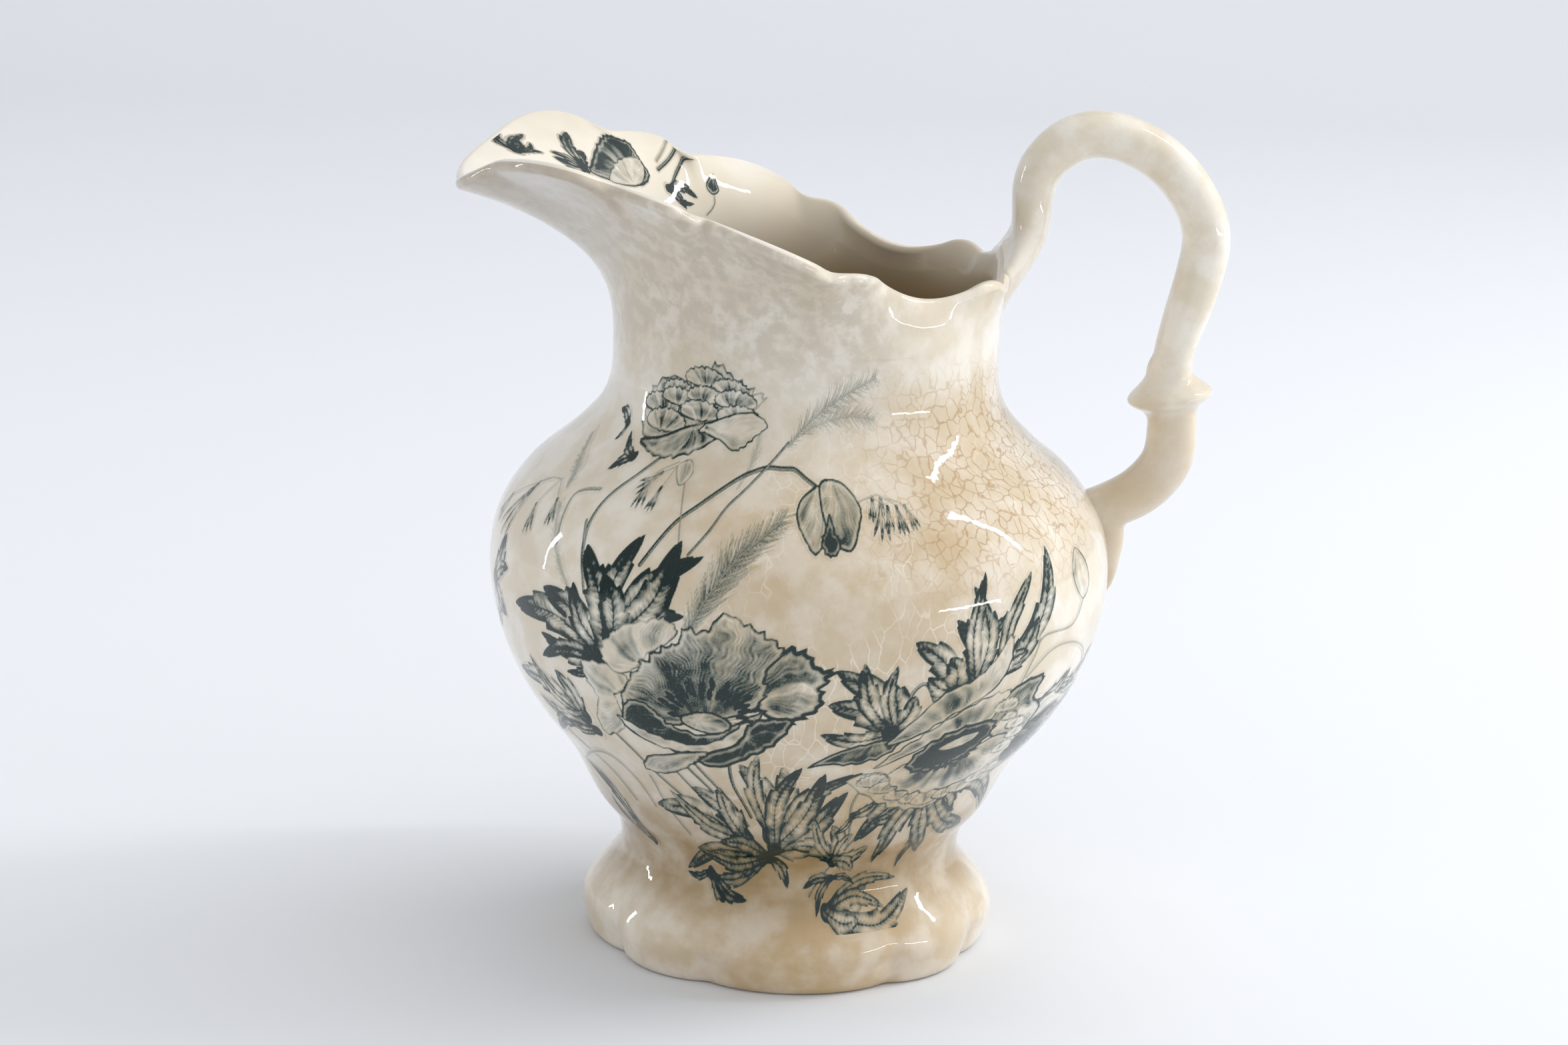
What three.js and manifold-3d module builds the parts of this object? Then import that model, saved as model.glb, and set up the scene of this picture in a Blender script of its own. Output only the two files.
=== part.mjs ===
// Glazed earthenware pitcher on a scalloped pedestal foot, with a looped handle.
// Millimetres, +Z up, +X toward the handle, -X toward the spout, mirrored about the XZ plane.
import * as THREE from 'three';
import { mergeVertices } from 'three/addons/utils/BufferGeometryUtils.js';
import Module from 'manifold-3d';

const wasm = await Module();
wasm.setup();

// vessel
const bellyRadius = 85.8;
const bellyHeight = 108;
const waistRadius = 47.5;
const neckRadius = 53;
const neckHeight = 166;
const rimHeight = 188.5; // lowest point of the mouth, at the middle of its rounded lip
const wall = 4.8;
const floorThickness = 6;
const flarePower = 3.3; // how late the neck turns out into the mouth

// pedestal foot and the lobes that run up from it into the belly
const footHeight = 28; // standing face up to the joint with the vessel
const footRadius = 57.9;
const footEdgeHeight = 7.4;
const standingRingWidth = 7;
const footWall = 8.5;
const footNotchDepth = 3.6;
const waistNotchDepth = 1.5;
const notchFadeHeight = 34; // above the joint
const majorLobe = THREE.MathUtils.degToRad(56); // the four lobes that face X and Y

// handle
const handleReach = 109; // axis of the vessel out to the furthest point of the handle's own axis
const handleTop = 229;
const handleThickness = 13;
const handleWidth = 15;
const knuckleHeight = 157;
const knuckleRadius = 12;
const seatHeight = 125; // where the lower end meets the belly
const tailLength = 25;
const tailWidth = 13;

// joints: a wafer of slip between two pieces, with a gap on both of its sides
const jointGap = 0.3;
const slipThickness = 1;

// The rim from the handle round to the spout. Each row is the notch where a scallop starts, then the scallop.
// angle, flare beyond the neck, rise above the lowest point, swell, lift, place of the peak, steps
const scallops = [
  { angle: 0, flare: 1, rise: 8.5, swell: 0.3, lift: -1, peak: 0.5, steps: 5 },
  { angle: 26, flare: 2.3, rise: 1.2, swell: 1, lift: 1.5, peak: 0.5, steps: 3 },
  { angle: 39, flare: 1, rise: 2.3, swell: -1, lift: -4.6, peak: 0.5, steps: 5 },
  { angle: 74, flare: -2, rise: 6.8, swell: 2.6, lift: 1, peak: 0.5, steps: 3 },
  { angle: 87.5, flare: 5.5, rise: 9.4, swell: 12.5, lift: 3.5, peak: 0.34, steps: 7 },
  { angle: 122, flare: 7.2, rise: 22.2, swell: 8.5, lift: 2.5, peak: 0.3, steps: 5 },
  { angle: 141, flare: 17.5, rise: 29.3, swell: 10.5, lift: 4.5, peak: 0.36, steps: 6 },
  { angle: 163, flare: 35.4, rise: 31.8, swell: 4.3, lift: -1.5, peak: 0.5, steps: 5 },
  { angle: 180, flare: 40.8, rise: 23 },
];

const glaze = { color: 0xdccbb0, roughness: 0.18, metalness: 0 };
const slip = { color: 0xb79a72, roughness: 0.5, metalness: 0 };

const lerp = THREE.MathUtils.lerp;

// One closed solid from rings of equal length. Rings run from the pole `start` to the pole `end`,
// or join last to first where there are no poles.
function solidFromRings(rings, start, end) {
  const count = rings[0].length;
  const points = rings.flat();
  const faces = [];
  const quad = (a, b) => {
    for (let i = 0; i < count; i++) {
      const j = (i + 1) % count;
      faces.push(a * count + i, a * count + j, b * count + j);
      faces.push(a * count + i, b * count + j, b * count + i);
    }
  };
  for (let k = 0; k + 1 < rings.length; k++) quad(k, k + 1);
  if (start) {
    const last = (rings.length - 1) * count;
    points.push(start, end);
    for (let i = 0; i < count; i++) {
      const j = (i + 1) % count;
      faces.push(points.length - 2, j, i);
      faces.push(points.length - 1, last + i, last + j);
    }
  } else {
    quad(rings.length - 1, 0);
  }
  const geometry = new THREE.BufferGeometry().setFromPoints(points);
  geometry.setIndex(faces);
  geometry.computeVertexNormals();
  return geometry;
}

function toManifold(geometry) {
  const bare = geometry.clone();
  bare.deleteAttribute('normal');
  bare.deleteAttribute('uv');
  const merged = mergeVertices(bare, 1e-4);
  const vertProperties = new Float32Array(merged.attributes.position.array);
  const triVerts = new Uint32Array(merged.index.array);
  return new wasm.Manifold(new wasm.Mesh({ numProp: 3, vertProperties, triVerts }));
}

function fromManifold(solid) {
  const mesh = solid.getMesh();
  const geometry = new THREE.BufferGeometry();
  geometry.setAttribute('position', new THREE.BufferAttribute(mesh.vertProperties, 3));
  geometry.setIndex(new THREE.BufferAttribute(mesh.triVerts, 1));
  geometry.computeVertexNormals();
  return geometry;
}

// A hump from 0 to 1 and back to 0 whose highest point is at `peak`.
function hump(s, peak) {
  const bent = s ** (Math.log(0.5) / Math.log(peak));
  return Math.abs(Math.sin(Math.PI * bent)) ** 0.85;
}

// 0 in the notches of the eight-lobed foot, 1 on the crest of each lobe.
function lobe(angle) {
  const quarter = Math.PI / 2;
  const turn = ((angle % quarter) + quarter) % quarter;
  const fromMajor = Math.min(turn, quarter - turn);
  const onMajor = fromMajor < majorLobe / 2;
  const across = onMajor ? fromMajor / majorLobe : (quarter / 2 - fromMajor) / (quarter - majorLobe);
  return Math.sqrt(Math.cos(Math.PI * across) + 0.02);
}

// ---- vessel ----

// outside of the vessel from the joint with the foot up to the neck: [radius, height]
function vesselProfile() {
  const low = (r, h) => new THREE.Vector2(lerp(waistRadius, bellyRadius, r), lerp(footHeight, bellyHeight, h));
  const high = (r, h) => new THREE.Vector2(lerp(bellyRadius, neckRadius, r), lerp(bellyHeight, neckHeight, h));
  return new THREE.SplineCurve([
    low(0, 0), low(0.05, 0.09), low(0.2, 0.175), low(0.4, 0.36), low(0.63, 0.5), low(0.82, 0.65), low(0.95, 0.825),
    low(1, 1), high(0.07, 0.24), high(0.31, 0.45), high(0.66, 0.62), high(0.89, 0.76), high(0.98, 0.88), high(1, 1),
  ]);
}

const profile = vesselProfile();

// radius of the vessel's outside at a height between the joint and the neck
function radiusAt(height) {
  let low = 0;
  let high = 1;
  for (let i = 0; i < 30; i++) {
    const middle = (low + high) / 2;
    if (profile.getPoint(middle).y < height) low = middle;
    else high = middle;
  }
  return profile.getPoint(low).x;
}

// the middle of the lip, from the handle round to the spout on the +Y side
function halfRim() {
  const points = [];
  const notch = (row) => {
    const angle = THREE.MathUtils.degToRad(row.angle);
    const radius = neckRadius + row.flare;
    return new THREE.Vector3(radius * Math.cos(angle), radius * Math.sin(angle), rimHeight + row.rise);
  };
  for (let k = 0; k + 1 < scallops.length; k++) {
    const row = scallops[k];
    const from = notch(row);
    const to = notch(scallops[k + 1]);
    const out = new THREE.Vector3(to.y - from.y, from.x - to.x, 0).normalize();
    for (let i = 0; i < row.steps; i++) {
      const s = i / row.steps;
      const height = hump(s, row.peak);
      const point = from.clone().lerp(to, s).addScaledVector(out, row.swell * height);
      point.z += row.lift * height;
      points.push({ point, angle: THREE.MathUtils.degToRad(lerp(row.angle, scallops[k + 1].angle, s)) });
    }
  }
  points.push({ point: notch(scallops.at(-1)), angle: Math.PI });
  return points;
}

// the whole rim, counterclockwise from the handle
function wholeRim() {
  const half = halfRim();
  const mirrored = half.slice(1, -1).reverse().map(({ point, angle }) => ({
    point: new THREE.Vector3(point.x, -point.y, point.z),
    angle: 2 * Math.PI - angle,
  }));
  return [...half, ...mirrored];
}

// Rings of the wall's middle surface, from the joint up to the lip.
function middleSurface() {
  const rim = wholeRim();
  const rings = [];
  const lowerRows = 17;
  for (let k = 0; k <= lowerRows; k++) {
    const along = profile.getPoint(k / lowerRows);
    const slope = profile.getTangent(k / lowerRows);
    const radius = along.x - slope.y * wall / 2;
    const height = along.y + slope.x * wall / 2;
    const fade = Math.max(0, 1 - (along.y - footHeight) / notchFadeHeight);
    const ring = rim.map(({ angle }) => {
      const r = radius - waistNotchDepth * fade * (1 - lobe(angle));
      return new THREE.Vector3(r * Math.cos(angle), r * Math.sin(angle), height);
    });
    rings.push(ring);
  }
  const neck = rings.at(-1);
  for (const t of [0.17, 0.33, 0.48, 0.62, 0.74, 0.84, 0.93, 1]) {
    rings.push(rim.map(({ point }, i) => {
      const placed = neck[i].clone().lerp(point, t ** flarePower);
      placed.z = lerp(neck[i].z, point.z, t);
      return placed;
    }));
  }
  return rings;
}

const middle = middleSurface();

// outward and upward unit vectors of the middle surface, softened along each ring
function surfaceFrames(rings) {
  const count = rings[0].length;
  const last = rings.length - 1;
  const ups = rings.map((ring, k) => ring.map((_, i) => (
    rings[Math.min(k + 1, last)][i].clone().sub(rings[Math.max(k - 1, 0)][i]).normalize())));
  const outs = rings.map((ring, k) => ring.map((_, i) => {
    const along = ring[(i + 1) % count].clone().sub(ring[(i + count - 1) % count]);
    return along.cross(ups[k][i]).normalize();
  }));
  const soft = outs.map((ring) => ring.map((out, i) => (
    out.clone().multiplyScalar(2).add(ring[(i + 1) % count]).add(ring[(i + count - 1) % count]).normalize())));
  return { ups, outs: soft };
}

const frames = surfaceFrames(middle);

function offsetRing(k, distance) {
  return middle[k].map((point, i) => point.clone().addScaledVector(frames.outs[k][i], distance));
}

// rings of the rounded lip, `radius` from its middle, from outside (turn 0) to inside (turn 1)
function lipRings(radius, turns) {
  const k = middle.length - 1;
  return turns.map((turn) => middle[k].map((point, i) => (
    point.clone()
      .addScaledVector(frames.outs[k][i], radius * Math.cos(turn * Math.PI))
      .addScaledVector(frames.ups[k][i], radius * Math.sin(turn * Math.PI)))));
}

function outerRings(distance, bottom) {
  const rings = middle.map((_, k) => offsetRing(k, distance));
  for (const point of rings[0]) point.z = bottom;
  return rings;
}

const vesselBottom = footHeight + 2 * jointGap + slipThickness;
const floorHeight = vesselBottom + floorThickness;

function vesselBody() {
  const outer = outerRings(wall / 2, vesselBottom);
  const inner = [];
  for (let k = middle.length - 2; k > 0; k -= 2) {
    const ring = offsetRing(k, -wall / 2);
    if (ring[0].z > floorHeight + wall) inner.push(ring);
  }
  const corner = inner.at(-1).map((point) => new THREE.Vector3(point.x * 0.9, point.y * 0.9, floorHeight));
  return solidFromRings(
    [...outer, ...lipRings(wall / 2, [0.25, 0.5, 0.75, 1]), ...inner, corner],
    new THREE.Vector3(0, 0, vesselBottom),
    new THREE.Vector3(0, 0, floorHeight),
  );
}

// The vessel's outside as a filled solid, grown by a distance: it trims what is joined to the vessel.
function grownVessel(distance) {
  const rings = [
    ...outerRings(wall / 2 + distance, vesselBottom),
    ...lipRings(wall / 2 + distance, [0.25, 0.5]),
  ];
  const cap = new THREE.Vector3(0, 0, rimHeight + wall + distance);
  return toManifold(solidFromRings(rings, new THREE.Vector3(0, 0, vesselBottom), cap));
}

// ---- pedestal foot ----

function lobedRing(radius, notchDepth, height) {
  const steps = 56;
  return Array.from({ length: steps }, (_, i) => {
    const angle = (i / steps) * 2 * Math.PI;
    const r = radius - notchDepth * (1 - lobe(angle));
    return new THREE.Vector3(r * Math.cos(angle), r * Math.sin(angle), height);
  });
}

function pedestalFoot() {
  const flareHeight = footHeight - footEdgeHeight;
  const rings = [];
  // inside, from the joint down to the standing ring
  const standingRadius = footRadius - 0.5 * footEdgeHeight;
  const innerFoot = standingRadius - standingRingWidth;
  const innerTop = waistRadius - footWall;
  rings.push(lobedRing(innerTop, 0, footHeight));
  rings.push(lobedRing(lerp(innerTop, innerFoot, 0.35), 0, footEdgeHeight + 0.35 * flareHeight));
  rings.push(lobedRing(innerFoot, footNotchDepth, 0));
  // standing face and the rounded edge
  rings.push(lobedRing(standingRadius, footNotchDepth, 0));
  for (const turn of [-60, -30, 0, 30]) {
    const bend = THREE.MathUtils.degToRad(turn);
    const radius = standingRadius + (footRadius - standingRadius) * Math.cos(bend);
    rings.push(lobedRing(radius, footNotchDepth, footEdgeHeight * (1 + Math.sin(bend))));
  }
  // sweep up to the waist
  for (const t of [0.3, 0.5, 0.7, 0.85, 1]) {
    const radius = lerp(waistRadius, footRadius, (1 - t) ** 1.25);
    const depth = lerp(footNotchDepth, waistNotchDepth, t);
    rings.push(lobedRing(radius, depth, footEdgeHeight + 0.4 * footEdgeHeight + (flareHeight - 0.4 * footEdgeHeight) * t));
  }
  return solidFromRings(rings);
}

function footSlip() {
  const low = footHeight + jointGap;
  const high = low + slipThickness;
  const outside = waistRadius - jointGap;
  const inside = waistRadius - footWall + jointGap;
  return solidFromRings([
    lobedRing(inside, 0, high), lobedRing(inside, 0, low),
    lobedRing(outside, waistNotchDepth, low), lobedRing(outside, waistNotchDepth, high),
  ]);
}

// ---- handle ----

// A bar swept through stations {x, z, thick, wide}: thick lies in the plane of the handle, wide along Y.
function sweptBar(stations, steps, sides, squareness) {
  const path = new THREE.CatmullRomCurve3(stations.map(({ x, z }) => new THREE.Vector3(x, 0, z)));
  const sizes = new THREE.CatmullRomCurve3(stations.map(({ thick, wide }) => new THREE.Vector3(thick, wide, 0)));
  const across = new THREE.Vector3(0, 1, 0);
  const rounded = (value) => Math.sign(value) * Math.abs(value) ** squareness;
  const rings = Array.from({ length: steps + 1 }, (_, k) => {
    const centre = path.getPoint(k / steps);
    const size = sizes.getPoint(k / steps);
    const side = path.getTangent(k / steps).cross(across).normalize();
    return Array.from({ length: sides }, (_, i) => {
      const turn = (i / sides) * 2 * Math.PI;
      return centre.clone()
        .addScaledVector(across, rounded(Math.cos(turn)) * size.y / 2)
        .addScaledVector(side, rounded(Math.sin(turn)) * size.x / 2);
    });
  });
  return solidFromRings(rings, path.getPoint(0), path.getPoint(1));
}

// The loop from inside the neck wall, over the top and down into the belly.
function handleLoop() {
  const root = { x: neckRadius - wall / 2, z: rimHeight };
  const seat = { x: radiusAt(seatHeight), z: seatHeight };
  const thick = handleThickness;
  const wide = handleWidth;
  const upper = (across, up, t, w) => ({
    x: lerp(root.x, handleReach, across), z: lerp(root.z, handleTop, up), thick: thick * t, wide: wide * w,
  });
  const down = (across, drop, t, w) => ({
    x: lerp(root.x, handleReach, across), z: lerp(handleTop, knuckleHeight, drop), thick: thick * t, wide: wide * w,
  });
  const lower = (across, drop, t, w) => ({
    x: lerp(seat.x, handleReach, across), z: lerp(knuckleHeight, seat.z, drop), thick: thick * t, wide: wide * w,
  });
  const stations = [
    upper(0.015, -0.11, 0.7, 1.9), upper(0.1, 0.12, 0.8, 1.65), upper(0.155, 0.32, 0.88, 1.3),
    upper(0.166, 0.52, 0.88, 1.08), upper(0.2, 0.765, 0.94, 1), upper(0.33, 0.95, 1, 1),
    upper(0.5, 1, 1, 1), down(0.69, 0.05, 1, 1), down(0.84, 0.14, 1, 1), down(0.955, 0.27, 1, 1),
    down(1, 0.4, 1.02, 1), down(0.97, 0.55, 1, 1), down(0.92, 0.7, 0.94, 1), down(0.875, 0.84, 0.84, 0.95),
    lower(0.72, 0, 0.95, 1), lower(0.76, 0.3, 1.08, 1.05), lower(0.72, 0.6, 1.08, 1.05),
    lower(0.48, 0.85, 1.05, 1.05), lower(0.15, 1, 0.98, 1), lower(-0.25, 1.12, 0.92, 0.95),
  ];
  return sweptBar(stations, 48, 14, 0.9);
}

// a raised collar on the lower third of the loop
function knuckle() {
  const seatX = radiusAt(seatHeight);
  const outline = [[0.05, 0.5], [0.55, 0.45], [0.68, 0.2], [0.95, 0.1], [1, 0], [0.93, -0.1], [0.7, -0.2], [0.55, -0.42], [0.05, -0.5]];
  const points = outline.map(([r, h]) => new THREE.Vector2(r * knuckleRadius, h * knuckleRadius));
  points[0].x = 0;
  points.at(-1).x = 0;
  const geometry = new THREE.LatheGeometry(points.reverse(), 20);
  geometry.rotateX(Math.PI / 2);
  geometry.translate(lerp(seatX, handleReach, 0.71), 0, knuckleHeight);
  return geometry;
}

// the pointed tail that runs down the belly below the lower end
function tail() {
  const at = (drop, proud, thick, wide) => {
    const z = seatHeight - drop * tailLength;
    return { x: radiusAt(z) + proud - thick / 2, z, thick, wide: wide * tailWidth };
  };
  return sweptBar(
    [at(-0.1, 7, 12, 1), at(0.25, 6.2, 11, 1), at(0.6, 4.2, 9, 0.75), at(0.85, 2.8, 7, 0.45), at(1.03, 0.8, 5, 0.15)],
    14, 12, 0.9,
  );
}

const bar = toManifold(handleLoop()).add(toManifold(knuckle())).add(toManifold(tail()));

function handle() {
  return fromManifold(bar.subtract(grownVessel(2 * jointGap + slipThickness)));
}

// a wafer between the handle and the vessel, above or below the knuckle
function handleSlip(above) {
  const size = 2 * handleTop;
  const half = new THREE.BoxGeometry(size, size, size);
  half.translate(0, 0, knuckleHeight + (above ? size / 2 : -size / 2));
  const layer = grownVessel(jointGap + slipThickness).subtract(grownVessel(jointGap));
  return fromManifold(bar.intersect(layer).intersect(toManifold(half)));
}

// ---- the pitcher ----

const pitcher = new THREE.Group();

function place(name, geometry, look) {
  const mesh = new THREE.Mesh(geometry, new THREE.MeshStandardMaterial(look));
  mesh.name = name;
  pitcher.add(mesh);
}

place('vessel_body', vesselBody(), glaze);
place('pedestal_foot', pedestalFoot(), glaze);
place('handle', handle(), glaze);
place('foot_luting_slip', footSlip(), slip);
place('upper_luting_slip', handleSlip(true), slip);
place('lower_luting_slip', handleSlip(false), slip);

// the origin is under the middle of the pitcher's own box, on the surface that it stands on
const box = new THREE.Box3().setFromObject(pitcher);
const centre = box.getCenter(new THREE.Vector3());
pitcher.position.set(-centre.x, -centre.y, -box.min.z);

const group = new THREE.Group();
group.add(pitcher);

export default group;
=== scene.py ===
import bpy
import math
import numpy as np
from mathutils import Matrix, Vector
from mathutils.kdtree import KDTree


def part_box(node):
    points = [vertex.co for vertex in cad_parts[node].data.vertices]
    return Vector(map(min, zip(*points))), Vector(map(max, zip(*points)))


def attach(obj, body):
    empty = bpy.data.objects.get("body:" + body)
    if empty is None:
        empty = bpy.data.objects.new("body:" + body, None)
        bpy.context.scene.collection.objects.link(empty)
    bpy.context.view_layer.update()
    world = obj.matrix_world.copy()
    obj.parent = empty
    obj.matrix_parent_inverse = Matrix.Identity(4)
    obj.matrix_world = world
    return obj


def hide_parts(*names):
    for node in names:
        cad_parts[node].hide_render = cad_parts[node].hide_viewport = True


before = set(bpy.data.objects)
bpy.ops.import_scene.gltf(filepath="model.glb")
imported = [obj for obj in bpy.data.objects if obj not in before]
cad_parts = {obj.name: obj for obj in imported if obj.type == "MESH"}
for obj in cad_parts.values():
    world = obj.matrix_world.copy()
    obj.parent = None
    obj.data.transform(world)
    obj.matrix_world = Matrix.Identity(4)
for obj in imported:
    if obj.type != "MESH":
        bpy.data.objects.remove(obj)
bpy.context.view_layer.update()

# Shapes are worked out in millimetres about the upright axis of the vessel, with +X toward the handle.
mm = 0.001
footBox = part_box("pedestal_foot")
axisX = (footBox[0][0] + footBox[1][0]) / 2


def spline(points, places):
    # a smooth curve through the points; places run from 0 to the number of the last point
    points = np.asarray(points, float)
    last = len(points) - 1
    places = np.clip(np.asarray(places, float), 0, last)
    k = np.minimum(places.astype(int), last - 1)
    w = (places - k)[:, None]
    a, b, c, d = (points[np.clip(k + n, 0, last)] for n in (-1, 0, 1, 2))
    return b + 0.5 * w * (c - a + w * (2 * a - 5 * b + 4 * c - d + w * (3 * (b - c) + d - a)))


def evenSpline(points, count):
    return spline(points, np.linspace(0, len(points) - 1, count))


def unit(vectors):
    return vectors / np.maximum(np.linalg.norm(vectors, axis=-1, keepdims=True), 1e-9)


def ringSmooth(values, passes):
    for _ in range(passes):
        values = 0.5 * values + 0.25 * (np.roll(values, 1, axis=-2) + np.roll(values, -1, axis=-2))
    return values


vessel = {
    "columns": 336,
    "waistRadius": 47.5,
    "bellyRadius": 85.8,
    "bellyHeight": 108,
    "neckRadius": 53,
    "neckHeight": 166,
    "rimHeight": 188.5,
    "wall": 4.8,
    "floorHeight": 35.6,
    "undersideHeight": 29.6,
    "flarePower": 3.3,  # how late the neck turns out into the mouth
    "bodyRows": 72,
    "mouthRows": 46,
    "lipTaperRows": 14,
    "lipSteps": 11,
    # parts of the way out and up, from the waist to the belly, then from the belly to the neck
    "low": [(0, 0), (0.01, 0.04), (0.06, 0.1), (0.2, 0.185), (0.4, 0.36), (0.63, 0.5), (0.82, 0.65),
            (0.95, 0.825), (1, 1)],
    "high": [(0.07, 0.24), (0.31, 0.45), (0.66, 0.62), (0.89, 0.76), (0.98, 0.88), (1, 1)],
    # angle from the handle, flare beyond the neck, rise, swell, lift and place of the peak of each scallop
    "scallops": [
        (0, 1, 8.5, 0.3, -1, 0.5), (26, 2.3, 1.2, 1, 1.5, 0.5), (39, 1, 2.3, -1, -4.6, 0.5),
        (74, -2, 6.8, 2.6, 1, 0.5), (87.5, 5.5, 9.4, 12.5, 3.5, 0.34), (122, 7.2, 22.2, 8.5, 2.5, 0.3),
        (141, 17.5, 29.3, 10.5, 4.5, 0.36), (163, 35.4, 31.8, 4.3, -1.5, 0.5), (180, 40.8, 23, 0, 0, 0.5),
    ],
    "rimSoftness": 34,  # smoothing passes
    "underRimSoftness": 60,
    "scallopReach": 12,  # how close under the lip a scallop stays
    "lipWall": 3.7,
    "cornerDepth": 7,  # of the round between the wall and the floor inside
    "cornerRows": 8,
    "slipLift": 0.012,  # how proud the slip at the joint stands
    "slipReach": 0.0003,  # how far off the joint is still shaded as part of it, in metres
}

foot = {
    "height": 28,
    "radius": 57.9,
    "edgeHeight": 7.4,
    "standingRing": 7,
    "wall": 8.5,
    "notchDepth": 4.1,
    # beyond the waist, and height, from the waist down to the standing face
    "profile": [(0, 28), (0.12, 26.6), (0.7, 25), (2, 23), (3.9, 20.7), (6.1, 18.2), (8.2, 15.6),
                (9.7, 13.2), (10.4, 10.9), (10.4, 8.6), (10, 6.2), (9.4, 4), (8.7, 1.9), (7.6, 0.5),
                (6.2, 0)],
    "outsideRows": 72,
    "insideRows": 14,
    "innerEdge": 0.8,  # height of the round on the inner edge of the standing ring
    "majorLobe": math.radians(56),  # the four lobes that face front, back and sides
    "lobeSoftness": 50,  # smoothing passes
}


def lobe(angle):
    # 0 in the notches of the eight lobes, 1 on their crests
    quarter = math.pi / 2
    turn = angle % quarter
    fromMajor = np.minimum(turn, quarter - turn)
    onMajor = fromMajor < foot["majorLobe"] / 2
    across = np.where(onMajor, fromMajor / foot["majorLobe"],
                      (quarter / 2 - fromMajor) / (quarter - foot["majorLobe"]))
    return np.sqrt(np.cos(math.pi * across) + 0.02)


def mouthCurve(columns, even=False):
    # the middle of the lip, counterclockwise from the handle; even=True levels each scallop
    rows = np.array(vessel["scallops"], float)
    angle = np.arange(columns) * 360 / columns
    half = np.minimum(angle, 360 - angle)
    k = np.clip(np.searchsorted(rows[:, 0], half, side="right") - 1, 0, len(rows) - 2)
    s = (half - rows[k, 0]) / (rows[k + 1, 0] - rows[k, 0])
    turn = np.radians(rows[:, 0])
    radius = vessel["neckRadius"] + rows[:, 1]
    notch = np.stack([radius * np.cos(turn), radius * np.sin(turn), vessel["rimHeight"] + rows[:, 2]], 1)
    start, end = notch[k], notch[k + 1]
    out = unit(np.stack([end[:, 1] - start[:, 1], start[:, 0] - end[:, 0]], 1))
    hump = np.abs(np.sin(math.pi * s ** (math.log(0.5) / np.log(rows[k, 5])))) ** 0.85
    if even:
        hump = 0.62 + 0 * hump
    point = start + (end - start) * s[:, None]
    point[:, :2] += out * (rows[k, 3] * hump)[:, None]
    point[:, 2] += rows[k, 4] * hump
    point[angle > 180, 1] *= -1
    return point


def profileCurve(count):
    v = vessel
    low = [(v["waistRadius"] + r * (v["bellyRadius"] - v["waistRadius"]),
            foot["height"] + h * (v["bellyHeight"] - foot["height"])) for r, h in v["low"]]
    high = [(v["bellyRadius"] + r * (v["neckRadius"] - v["bellyRadius"]),
             v["bellyHeight"] + h * (v["neckHeight"] - v["bellyHeight"])) for r, h in v["high"]]
    return evenSpline(low + high, count)


columns = vessel["columns"]
columnAngle = np.arange(columns) * 2 * math.pi / columns
rim = ringSmooth(mouthCurve(columns * 4), vessel["rimSoftness"])[::4]
evenRim = ringSmooth(mouthCurve(columns, True), vessel["underRimSoftness"])
fineAngle = np.arange(columns * 4) * math.pi / 2 / columns
columnLobe = ringSmooth(lobe(fineAngle)[:, None], foot["lobeSoftness"])[::4, 0]


def circle(radius, height):
    return np.stack([radius * np.cos(columnAngle), radius * np.sin(columnAngle), height + 0 * columnAngle],
                    1)


def middleSurface(lowerRows, upperRows):
    v = vessel
    along = profileCurve(lowerRows)
    slope = unit(np.gradient(along, axis=0))
    rings = []
    for (r, h), (dr, dh) in zip(along, slope):
        rings.append(circle(r - dh * v["wall"] / 2, h + dr * v["wall"] / 2))
    neck = rings[-1]

    def evenSurface(z):
        t = (z - neck[:, 2]) / (evenRim[:, 2] - neck[:, 2])
        return neck[:, :2] + (evenRim - neck)[:, :2] * t[:, None] ** v["flarePower"]

    scallop = rim[:, :2] - evenSurface(rim[:, 2])
    for t in np.linspace(0, 1, upperRows + 1)[1:]:
        t = 1 - (1 - t) ** 1.15
        ring = neck + (rim - neck) * t
        ring[:, :2] = evenSurface(ring[:, 2]) + scallop * t ** v["scallopReach"]
        rings.append(ring)
    return np.array(rings)


def gridNormals(rings):
    along = np.roll(rings, -1, 1) - np.roll(rings, 1, 1)
    up = np.gradient(rings, axis=0)
    return unit(np.cross(along, up)), unit(up)


middle = middleSurface(vessel["bodyRows"], vessel["mouthRows"])
outs, ups = gridNormals(middle)
outs = unit(ringSmooth(outs, 3))
halfWall = np.full(len(middle), vessel["wall"] / 2)
taperRows = vessel["lipTaperRows"]
halfWall[-taperRows:] = np.linspace(vessel["wall"] / 2, vessel["lipWall"] / 2, taperRows)
outerWall = middle + outs * halfWall[:, None, None]
innerWall = middle - outs * halfWall[:, None, None]


def lipRings(count):
    turns = np.linspace(0, math.pi, count + 2)[1:-1]
    radius = vessel["lipWall"] / 2
    return np.array([middle[-1] + radius * (outs[-1] * math.cos(t) + ups[-1] * math.sin(t)) for t in turns])


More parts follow.
